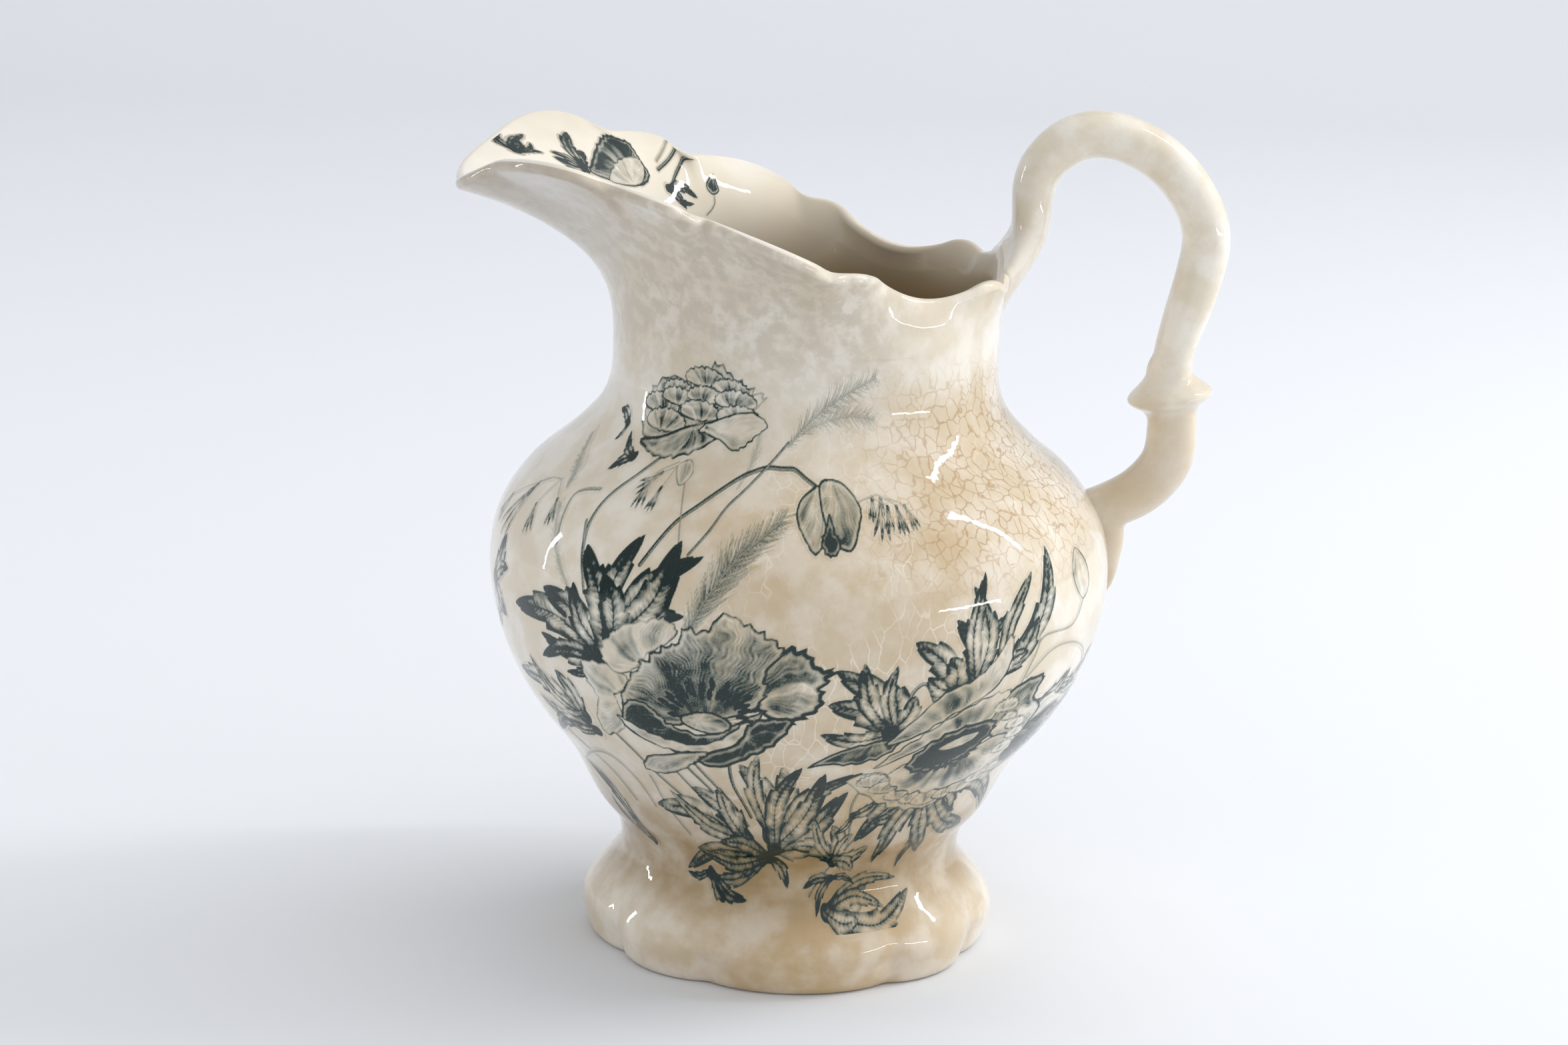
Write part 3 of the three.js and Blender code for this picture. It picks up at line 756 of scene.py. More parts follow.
def drawFront(sheet):
    # plumes and stems lie behind the flowers
    plume(sheet, [(-24, 107), (-22, 113), (-19, 121), (-15, 129), (-8, 137)], [2.5, 7.5, 8.5, 7, 3], 150,
          0.62, 28)
    plume(sheet, [(-8, 153), (-4, 158), (2, 163), (8, 167), (16, 171)], [1, 4.5, 5.5, 5, 2.5], 80, 0.5, 42,
          seed=2)
    plume(sheet, [(-4, 157), (3, 160), (10, 161), (16, 160)], [1.5, 4.5, 4.5, 2.5], 60, 0.42, 45, seed=3)
    plume(sheet, [(-19, 143), (-17, 149), (-16, 156)], [1, 3, 2], 36, 0.34, 30, seed=4)
    plume(sheet, [(-62, 136), (-64, 139), (-69, 143), (-73, 147)], [2, 3.5, 3, 1.5], 40, 0.5, 26, seed=5)
    plume(sheet, [(-46, 110), (-51, 117), (-56, 125), (-60, 132)], [1, 3, 3.5, 2], 46, 0.42, 22, seed=6)
    for points, width, tone in [
        ([(-42, 147), (-45, 143), (-48, 138), (-49, 132), (-48, 126), (-46, 119)], 1.1, 0.75),
        ([(0, 144), (-3, 146), (-6, 148), (-9, 148), (-13, 148), (-18, 146), (-22, 143), (-26, 139),
          (-30, 134), (-34, 124)], 1.1, 0.85),
        ([(-8, 154), (-13, 148), (-17, 143), (-20, 139), (-22, 134), (-25, 128)], 0.8, 0.75),
        ([(-55, 124), (-57, 130), (-58, 135), (-56, 137), (-52, 138)], 0.8, 0.6),
        ([(-32, 143), (-29, 136), (-27, 128)], 0.45, 0.6),
        ([(-50, 131), (-47, 123), (-45, 114)], 0.9, 0.7),
        ([(-10, 136), (-7, 138), (-4, 139)], 0.4, 0.5),
        ([(-42, 74), (-39, 69), (-34, 59), (-24, 48)], 1.1, 0.75),
        ([(-28, 70), (-24, 62), (-18, 50)], 1.1, 0.8),
        ([(-25, 70), (-21, 61), (-15, 49)], 1.1, 0.75),
        ([(-31, 68), (-27, 58), (-19, 47)], 1.0, 0.7),
        ([(-17, 72), (-17, 62), (-14, 52)], 1.1, 0.85),
        ([(-66, 58), (-57, 63), (-50, 65), (-46, 61), (-42, 50)], 0.8, 0.55),
        ([(-62, 68), (-55, 60), (-49, 50)], 0.8, 0.6),
        ([(-39, 61), (-38, 52), (-33, 43)], 0.9, 0.55),
        ([(18, 83), (17, 91), (18, 95), (20, 96), (22, 91)], 1.2, 0.7),
        ([(42, 92), (44, 99), (46, 104), (54, 104), (57, 106), (59, 110)], 0.8, 0.5),
        ([(43, 93), (49, 99), (56, 99), (63, 95), (67, 89), (66, 82)], 0.8, 0.45),
        ([(12, 63), (11, 56), (12, 45), (8, 37)], 1.0, 0.6),
        ([(23, 55), (18, 52), (15, 47), (11, 39)], 1.0, 0.6),
        ([(3, 26), (7, 32), (10, 36)], 0.9, 0.6),
    ]:
        stem(sheet, points, width, tone)
    for points in [
        [(-66, 137), (-73, 134), (-78, 119)], [(-66, 137), (-68, 130), (-66, 123)],
        [(-66, 137), (-62, 133), (-60, 127)],
        [(-70, 136), (-82, 128), (-84, 121)], [(-36, 147), (-41, 143), (-40, 136)],
        [(-36, 146), (-37, 141), (-37, 136)],
        [(-36, 146), (-39, 144), (-43, 140)], [(8, 141), (12, 142), (11, 137)],
        [(11, 142), (14, 142), (12, 133)], [(12, 142), (15, 140), (14, 135)],
        [(14, 142), (17, 140), (17, 134)], [(15, 142), (19, 140), (20, 135)],
    ]:
        oat(sheet, points, 1.3, 0.48)

    # leaves on the left of the open poppy
    leaf(sheet, (-40, 99), [(-66, 104), (-57, 99), (-56, 112), (-48, 116), (-47, 126)], 8.5, 0.45, tip=0.55)
    leaf(sheet, (-38, 104), [(-29, 112), (-24, 113), (-27, 121), (-22, 128), (-27, 131), (-35, 131),
                             (-41, 120)], 8.5, 0.5, tip=0.6, core=0.9)
    leaf(sheet, (-41, 97), [(-58, 92), (-51, 90)], 4.6, 0.9, tip=0.3)
    leaf(sheet, (-50, 77), [(-72, 83), (-64, 90), (-55, 89), (-67, 77)], 6, 0.42, tip=0.25)
    leaf(sheet, (-48, 73), [(-68, 66), (-60, 74)], 4, 0.6)
    leaf(sheet, (-78, 106), [(-74, 120), (-70, 112), (-72, 98), (-80, 92)], 6, 0.45)
    leaf(sheet, (-52, 36), [(-68, 57), (-63, 47), (-58, 38)], 4.4, 0.75)

    # leaves below
    leaf(sheet, (-9, 46), [(-15, 71), (-11, 75), (-6, 71), (-3, 66)], 8, 0.42, tip=0.1, core=0.5)
    leaf(sheet, (-16, 44), [(-41, 51), (-35, 57), (-28, 60), (-21, 62)], 8, 0.45, tip=0.15, core=0.6)
    leaf(sheet, (-8, 42), [(5, 46), (7, 53), (9, 62), (11, 69), (3, 69), (-2, 71)], 7.6, 0.34, tip=0.6,
         core=0.85)
    leaf(sheet, (-10, 38), [(-39, 30), (-33, 29), (-19, 30), (-4, 28), (-24, 42), (-33, 38)], 6, 0.62,
         tip=0.2, core=0.4)
    leaf(sheet, (-30, 31), [(-24, 23), (-39, 29), (-17, 24)], 3.4, 0.9, tip=0.2)
    leaf(sheet, (10, 37), [(-4, 43), (2, 53), (7, 50), (13, 47), (19, 42), (17, 33)], 6, 0.4, tip=0.12,
         core=0.55)
    leaf(sheet, (8, 22), [(23, 29), (34, 29), (39, 25), (28, 22), (18, 20)], 5.4, 0.42, tip=0.15, core=0.4)
    leaf(sheet, (10, 31), [(1, 28), (18, 29), (5, 21)], 3, 0.55)

    # leaves round the slanted poppy
    leaf(sheet, (15, 82), [(2, 91), (1, 82), (3, 101), (8, 103), (12, 98)], 7.6, 0.36, tip=0.4, core=0.95)
    leaf(sheet, (15, 83), [(18, 93), (14, 102)], 5.4, 0.4, tip=0.3, core=0.9)
    leaf(sheet, (26, 93), [(17, 108), (20, 98), (24, 103)], 7, 0.42, tip=0.35, core=0.95)
    leaf(sheet, (30, 94), [(25, 113), (36, 113), (29, 121), (32, 124)], 6, 0.36, tip=0.5, core=0.9)
    leaf(sheet, (35, 96), [(49, 127), (43, 122), (44, 110), (42, 101)], 6.4, 0.55, tip=0.2, core=0.8)
    leaf(sheet, (50, 82), [(72, 92), (66, 84), (60, 90)], 5.5, 0.5, tip=0.2)
    leaf(sheet, (31, 60), [(14, 44), (17, 50), (23, 35), (33, 32), (40, 36), (46, 42), (55, 42), (65, 44)],
         8, 0.55, tip=0.3, core=0.8)
    leaf(sheet, (12, 53), [(18, 59), (8, 47)], 3.4, 0.5)

    # open poppy
    petal(sheet, [(-46, 95), (-41, 96), (-37, 95), (-35, 91), (-39, 87), (-38, 80), (-40, 76), (-45, 73),
                  (-46, 78), (-44, 85), (-46, 90)],
          (-36, 86), [1, 0.6, 0.22, 0.1], 0.5, 0.6, 0.1, seed=1, folds=0.25)
    petal(sheet, [(-36, 108), (-40, 103), (-41, 98), (-38, 94), (-34, 96), (-31, 101), (-27, 105),
                  (-25, 109), (-28, 112), (-32, 110)],
          (-31, 97), [1, 0.95, 0.55, 0.2, 0.12], 0.5, 0.6, 0.12, seed=2, folds=0.28)
    petal(sheet, [(-10, 88), (-13, 95), (-11, 101), (-6, 107), (-2, 106), (0, 102), (3, 101), (1, 96),
                  (1, 91), (-2, 87), (-6, 85)],
          (-14, 90), [1, 1, 0.9, 0.6, 0.42, 0.6], 0.75, 1.2, 0.14, 60, 0.9, seed=3, folds=0.34)
    petal(sheet, [(-36, 92), (-32, 99), (-28, 104), (-25, 106), (-24, 110), (-20, 110), (-17, 115),
                  (-13, 113), (-9, 110), (-6, 106), (-9, 100), (-9, 94), (-12, 88), (-20, 84), (-28, 81),
                  (-36, 81), (-38, 86)],
          (-21, 82), [0.6, 0.2, 0.16, 0.62, 0.66, 0.5, 0.34], 0.55, 0.7, 0.16, 110, 0.6, seed=4, folds=0.22)
    petal(sheet, [(-37, 86), (-33, 87), (-30, 84), (-27, 81), (-20, 80), (-13, 86), (-9, 89), (-13, 81),
                  (-17, 75), (-25, 72), (-33, 74), (-39, 78)],
          (-22, 90), [1, 1, 1, 0.92, 0.7], 0.3, 0.6, 0.1, seed=5)
    stamens(sheet, (-20, 84), 3, (11, 9.5), 172, 10, 21, clubs=1.6)
    stamens(sheet, (-20, 84), 3, (14, 11.5), 160, 25, 16, seed=4, clubs=1.3)
    petal(sheet, [(-25, 85), (-20, 87), (-16, 85), (-16, 82), (-20, 80), (-25, 82)], (-22, 84),
          [0.15, 0.1, 0.4, 0.75], 0.5, 0.6, 0, seed=1, ragged=0.1)
    petal(sheet, [(-40, 81), (-36, 79), (-31, 77), (-24, 76), (-18, 79), (-13, 85), (-12, 83), (-17, 75),
                  (-24, 73), (-31, 73), (-37, 76)],
          (-24, 84), [0.1, 0.1, 0.12, 0.2], 0.75, 0.55, 0.06, seed=2, ragged=0.3)
    petal(sheet, [(-24, 70), (-21, 74), (-15, 78), (-12, 85), (-7, 87), (-4, 86), (-7, 79), (-12, 74),
                  (-19, 69)],
          (-13, 80), [0.35, 0.6, 0.85, 0.95], 0.4, 0.8, 0.08, seed=3)
    petal(sheet, [(-39, 64), (-36, 69), (-31, 71), (-26, 73), (-21, 74), (-25, 69), (-30, 65), (-35, 63)],
          (-24, 73), [0.8, 0.5, 0.42, 0.38], 0.5, 0.7, 0.1, seed=4)

    # slanted poppy
    petal(sheet, [(8, 66), (14, 69), (19, 66), (27, 60), (36, 57), (33, 53), (24, 54), (16, 58)], (26, 66),
          [0.85, 0.5, 0.2, 0.12], 0.6, 0.6, 0.1, seed=1, ragged=0.5)
    petal(sheet, [(45, 72), (49, 80), (54, 85), (62, 82), (70, 82), (68, 74), (60, 64), (52, 60), (46, 64)],
          (40, 70),
          [1, 0.95, 0.85, 0.6, 0.35], 0.6, 0.8, 0.14, seed=2, folds=0.35)
    petal(sheet, [(36, 80), (38, 88), (43, 92), (49, 92), (48, 86), (52, 81), (48, 73), (40, 75)], (34, 76),
          [1, 0.85, 0.5, 0.3, 0.7], 0.7, 0.9, 0.12, seed=3, folds=0.35)
    petal(sheet, [(-1, 71), (4, 76), (10, 79), (17, 80), (15, 75), (9, 72), (3, 72)], (12, 82),
          [0.1, 0.15, 0.5, 0.95], 0.7, 0.55, 0.08, seed=4)
    petal(sheet, [(14, 78), (19, 86), (24, 93), (30, 96), (34, 101), (37, 107), (38, 100), (36, 93),
                  (32, 89), (26, 85), (20, 80)],
          (28, 80), [1, 1, 0.85, 0.5, 0.2], 0.7, 0.55, 0.13, 130, 0.25, seed=5, folds=0.25)
    petal(sheet, [(13, 70), (17, 76), (23, 82), (29, 87), (35, 90), (40, 90), (38, 85), (36, 81), (28, 80),
                  (21, 75)],
          (30, 74), [1, 1, 0.95, 0.55, 0.15], 0.7, 0.55, 0.12, 130, 0.4, seed=6, folds=0.25)
    frill(sheet, [(14, 65), (22, 59), (31, 56), (41, 58), (49, 62)], 9, 4.2, [1, 0.7, 0.25, 0.12], seed=21)
    petal(sheet, [(17, 68), (22, 72), (29, 69), (35, 73), (41, 76), (48, 74), (49, 68), (44, 62), (36, 59),
                  (27, 59), (20, 62)],
          (30, 74), [1, 0.85, 0.5, 0.7, 0.35, 0.12], 0.8, 0.6, 0.1, 90, 0.6, seed=7, folds=0.32)
    frill(sheet, [(46, 70), (47, 76), (43, 80), (40, 85)], 5, 3.4, [1, 0.7, 0.25, 0.12], seed=31)
    petal(sheet, [(20, 70), (23, 77), (29, 81), (37, 82), (39, 79), (37, 74), (32, 69), (25, 67)], (30, 74),
          [0.9, 0.95, 1, 0.95], 0.3, 0.8, 0.1, seed=8, ragged=0.5)
    stamens(sheet, (30, 74), 2, (9, 6.5), 195, 350, 20, seed=5, clubs=1.0)
    petal(sheet, [(26, 75), (30, 78), (35, 79), (34, 76), (29, 74)], (30, 76), [0.1, 0.15, 0.5], 0.5, 0.5,
          0, seed=1, ragged=0.1)

    # side poppy under the neck
    petal(sheet, [(-52, 151), (-55, 156), (-54, 162), (-48, 167), (-39, 168), (-34, 171), (-29, 173),
                  (-25, 170), (-19, 167), (-15, 165), (-20, 160), (-26, 157), (-32, 153), (-41, 150)],
          (-35, 152), [0.3, 0.5, 0.28, 0.55, 0.3], 0.35, 0.8, 0.08, 60, 1.0, seed=2)
    for row, (points, count, size) in enumerate([
        ([(-43, 164), (-34, 168), (-26, 166)], 3, 5.4), ([(-49, 159), (-39, 163), (-24, 163)], 4, 5.2),
        ([(-46, 155), (-35, 159), (-23, 159)], 3, 5.6),
    ]):
        frill(sheet, points, count, size, [1, 1, 0.75, 0.3, 0.35], seed=53 + 10 * row, wide=1.35)
    petal(sheet, [(-52, 150), (-45, 152), (-39, 155), (-32, 157), (-27, 155), (-31, 151), (-37, 148),
                  (-43, 147), (-48, 148)],
          (-36, 156), [0.8, 0.6, 0.5, 0.44], 0.4, 0.7, 0.1, seed=3, folds=0.3)
    petal(sheet, [(-34, 155), (-27, 159), (-19, 161), (-14, 158), (-17, 155), (-20, 152), (-23, 151),
                  (-27, 153)],
          (-32, 156), [1, 0.85, 0.35, 0.15, 0.3], 0.7, 0.5, 0.08, seed=4)
    leaf(sheet, (-50, 146), [(-55, 142), (-57, 151)], 3, 0.8)
    leaf(sheet, (-60, 152), [(-67, 155), (-61, 148)], 2.6, 0.6)

    # nodding buds
    petal(sheet, [(0, 145), (-4, 142), (-5, 138), (-3, 133), (-1, 130), (1, 134), (3, 145)], (0, 146),
          [0.8, 0.5, 0.2, 0.3, 0.5], 0.55, 0.6, 0.12, 60, 0.1, seed=1)
    petal(sheet, [(0, 145), (1, 136), (3, 132), (6, 131), (8, 136), (9, 140), (7, 144), (4, 146)], (3, 147),
          [0.85, 0.45, 0.2, 0.35, 0.6], 0.55, 0.6, 0.12, 60, 0.1, seed=2)
    petal(sheet, [(0, 133), (1, 136), (2, 139), (3, 135), (4, 133), (3, 130), (1, 130)], (2, 134),
          [1, 1, 0.95], 0, 0.5, 0, seed=3, ragged=0.2)
    petal(sheet, [(59, 124), (56, 120), (56, 115), (59, 110), (62, 113), (62, 119)], (59, 124),
          [0.1, 0.35, 0.12, 0.3], 0.5, 0.5, 0.06, ragged=0.05)
    petal(sheet, [(-33, 148), (-36, 146), (-33, 142), (-31, 145)], (-33, 142), [0.5, 0.3, 0.2], 0.4, 0.4, 0,
          ragged=0.05)


def drawInside(sheet):
    # the spray inside the spout, seen over the front lip
    leaf(sheet, (255.3, 217.1), [(252.2, 216.6), (251.8, 218.9), (250.8, 220.8), (252.6, 220.5),
                                 (253.4, 222)], 1.1, 0.7, tip=0.4)
    leaf(sheet, (247.6, 212), [(251.4, 215.4), (250.6, 216.5), (243, 215.6), (245, 218), (241.6, 220.2)],
         2.8, 0.7, tip=0.3)
    petal(sheet, [(247, 211.1), (243.2, 213.6), (238.3, 216.3), (233.8, 218.4), (231.4, 218.8),
                  (229.8, 217.8), (227.9, 216.5),
                  (227.8, 213.5), (227.7, 211), (227.6, 208.2), (231.2, 206.1), (237.5, 206.4),
                  (242.9, 208.4)],
          (236, 207), [0.4, 0.35, 0.4, 0.62, 0.95], 0.4, 0.5, 0.12, seed=3, ragged=0.2, folds=0.3)
    petal(sheet, [(243, 208.5), (238.4, 211.5), (234.2, 213), (230.5, 213.2), (228.1, 212.4),
                  (228.5, 209.5), (232, 206.4), (238, 206.6)],
          (235, 206), [0.75, 0.3, 0.12, 0.1], 0.6, 0.4, 0.1, seed=6, ragged=0.15)
    for points, width, tone in [
        ([(213, 214), (215.1, 213.1), (219.2, 211), (223.7, 209.3)], 0.9, 0.85),
        ([(214.3, 216.6), (216.2, 215.3), (219.9, 213), (222.7, 211.4)], 0.6, 0.5),
        ([(210.7, 211.6), (213.2, 211.1), (217.3, 208.4), (220.3, 205.9), (221.8, 204.1)], 1.0, 0.9),
        ([(207.1, 201.1), (207.4, 199.3), (208.9, 197.7), (210.8, 196.5)], 0.5, 0.7),
    ]:
        stem(sheet, points, width, tone)
    leaf(sheet, (223, 204.4), [(213.1, 201.1), (214.8, 199.6), (218, 198.4)], 2.6, 0.9, tip=0.3)
    petal(sheet, [(205.8, 206.8), (208.6, 205.1), (209.1, 203.2), (207.4, 201.5), (205.1, 202.3),
                  (205.2, 204.3)], (207, 202),
          [0.95, 0.85, 0.7, 0.95], 0.4, 0.4, 0.1, seed=2, ragged=0.05)


printed = {
    "lift": 0.05,  # the ink lies this far above the clay skin
    "least": 0.02,  # paler cells than this stay bare
    "depth": 1.3,
    "gamma": 1.1,
    "insideRing": 50,  # the wall's ring where the print inside the spout may start
    # name, then its share of the front: degrees from and to, heights from and to
    "groups": [("upper", -200, 200, 118, 300), ("open_poppy", -200, 3, 0, 118),
               ("slanted_poppy", 3, 200, 0, 118)],
}
widest = int(np.argmax(footOutside[:, 0, 0]))
outsideRings = np.concatenate([footOutside[widest - 4:0:-1], outerWall])
outsideNormals = unit(ringSmooth(gridNormals(outsideRings)[0], 1))


def evenTable(rings, normals, step=0.5):
    # the surface again, column by column, at even heights
    low, high = rings[:, :, 2].min(1).min(), rings[:, :, 2].max()
    heights = np.arange(low, high, step)
    table = np.zeros((columns + 1, len(heights), 6))
    for i in range(columns):
        for n in range(3):
            table[i, :, n] = np.interp(heights, rings[:, i, 2], rings[:, i, n])
            table[i, :, n + 3] = np.interp(heights, rings[:, i, 2], normals[:, i, n])
    table[-1] = table[0]
    return {"low": low, "step": step, "values": table}


def onSurface(table, degrees, height):
    # place and normal at an angle from the front, toward the handle, and a height
    column = ((270 + degrees) % 360) / 360 * columns
    row = (height - table["low"]) / table["step"]
    i = np.minimum(column.astype(int), columns - 1)
    j = np.clip(row.astype(int), 0, table["values"].shape[1] - 2)
    u, v = (column - i)[:, None], np.clip(row - j, 0, 1)[:, None]
    t = table["values"]
    lower = t[i, j] * (1 - u) + t[i + 1, j] * u
    upper = t[i, j + 1] * (1 - u) + t[i + 1, j + 1] * u
    return lower * (1 - v) + upper * v


def laySheet(name, sheet, group, table, turned=0, step=1, side=1):
    # the inked cells become a film on the surface, built face by face because no operator can do that
    ink = np.clip(sheet["ink"] ** printed["gamma"] * printed["depth"], 0, 1)[::step, ::step]
    x, y = sheet["x"][::step], sheet["y"][::step]
    hot = ink > printed["least"]
    hot = hot | np.roll(hot, 1, 0) | np.roll(hot, -1, 0) | np.roll(hot, 1, 1) | np.roll(hot, -1, 1)
    degrees = x / sheetRules["perDegree"]
    _, left, right, low, high = group
    chosen = hot[:-1, :-1] | hot[1:, :-1] | hot[:-1, 1:] | hot[1:, 1:]
    inBand = ((degrees[:-1] >= left) & (degrees[:-1] < right))[None]
    chosen &= inBand & ((y[:-1] >= low) & (y[:-1] < high))[:, None]
    j, i = np.nonzero(chosen)
    wide = ink.shape[1]
    corners = np.stack([j * wide + i, j * wide + i + 1, (j + 1) * wide + i + 1, (j + 1) * wide + i], 1)
    used, faces = np.unique(corners, return_inverse=True)
    faces = faces.reshape(-1, 4)[:, ::side]
    row, column = used // wide, used % wide
    found = onSurface(table, degrees[column] + turned, y[row])
    normals = unit(found[:, 3:])
    mesh = bpy.data.meshes.new(name)
    mesh.vertices.add(len(used))
    mesh.vertices.foreach_set("co", place(found[:, :3] + normals * printed["lift"]).ravel())
    mesh.loops.add(faces.size)
    mesh.loops.foreach_set("vertex_index", faces.ravel().astype(np.int32))
    mesh.polygons.add(len(faces))
    mesh.polygons.foreach_set("loop_start", np.arange(0, faces.size, 4, dtype=np.int32))
    mesh.update(calc_edges=True)
    strength = mesh.attributes.new("ink", "FLOAT", "POINT")
    strength.data.foreach_set("value", ink[row, column].astype(np.float32))
    unwrapped = mesh.uv_layers.new(name="OFBake")
    across = (x[column] - x[column].min()) / np.ptp(x[column])
    upward = (y[row] - y[row].min()) / np.ptp(y[row])
    unwrapped.data.foreach_set("uv", np.stack([across, upward], 1)[faces.ravel()].ravel())
    mesh.polygons.foreach_set("use_smooth", np.ones(len(faces), bool))
    mesh.normals_split_custom_set_from_vertices(normals)
    piece = bpy.data.objects.new(name, mesh)
    bpy.context.scene.collection.objects.link(piece)
    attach(piece, "root")
    return piece


frontSheet = newSheet(*sheetRules["front"])
drawFront(frontSheet)
outside = evenTable(outsideRings, outsideNormals)
prints = []
for group in printed["groups"]:
    prints.append(laySheet("print_front_" + group[0], frontSheet, group, outside))
    prints.append(laySheet("print_back_" + group[0], frontSheet, group, outside, 180,
                           sheetRules["backStep"]))
insideSheet = newSheet(*sheetRules["inside"], sheetRules["insideCell"])
drawInside(insideSheet)
inside = evenTable(innerWall[printed["insideRing"]:], -outs[printed["insideRing"]:], 0.2)
prints.append(laySheet("print_inside_spout", insideSheet, ("spout", 0, 360, 0, 300), inside, side=-1))
print("print:", [len(piece.data.polygons) for piece in prints])


def hexColour(text):
    values = [int(text[i:i + 2], 16) / 255 for i in (1, 3, 5)]
    return tuple(v / 12.92 if v <= 0.04045 else ((v + 0.055) / 1.055) ** 2.4 for v in values) + (1,)


def addNode(material, kind, links=None, values=None, **settings):
    # adds one node with its settings, its values and what feeds its sockets
    node = material.node_tree.nodes.new(kind)
    for key, value in settings.items():
        setattr(node, key, value)
    for socket, value in (values or {}).items():
        node.inputs[socket].default_value = value
    for socket, source in (links or {}).items():
        material.node_tree.links.new(source, node.inputs[socket])
    return node


glaze = {
    "cream": "#e9e4da",
    "deepCream": "#ddd4c2",
    "tan": "#bda682",
    "stain": "#b0905f",
    # painted shade: grey on the neck's left, the side turned from the light, and grey-brown under the spout
    "neckShadeGrey": "#c4bbac",
    "spout": "#a89d90",
    "waist": "#8f7448",
    "inside": "#8a7450",
    "crack": "#a07a4c",
    "paleCrack": "#f1eadb",
    "ink": "#011d1c",
    "inkThin": "#12564f",
    "roughness": 0.32,
    "coatRoughness": 0.03,
    "crackSize": 3.6,  # millimetres
    "paleCrackSize": 4.2,
}

# soft places: tea stains, the darker inside, and painted shade on the neck and under the spout
stainAndShadeEdges = {
    # metres, from clean to full: from the left, from the right, from below, from above
    "bottom": (None, None, None, (0.068, 0.034)),
    "centre": ((-0.06, -0.015), (0.05, 0.01), None, None),
    "waist": (None, None, (0.016, 0.028), (0.062, 0.036)),
    "middle": ((-0.075, -0.02), (0.058, 0.02), (0.04, 0.06), (0.175, 0.13)),
    "shoulder": ((-0.01, 0.03), (0.075, 0.062), (0.112, 0.135), (0.178, 0.155)),
    "lowHandle": ((0.066, 0.08), None, None, (0.175, 0.125)),
    # painted shade: the upper neck, fading out toward its lit right side, and the spout's underside
    "neck": (None, (0.03, -0.005), (0.15, 0.185), None),
    "spout": (None, (-0.045, -0.085), None, None),
    "deepInside": (None, None, None, (0.212, 0.17)),
}


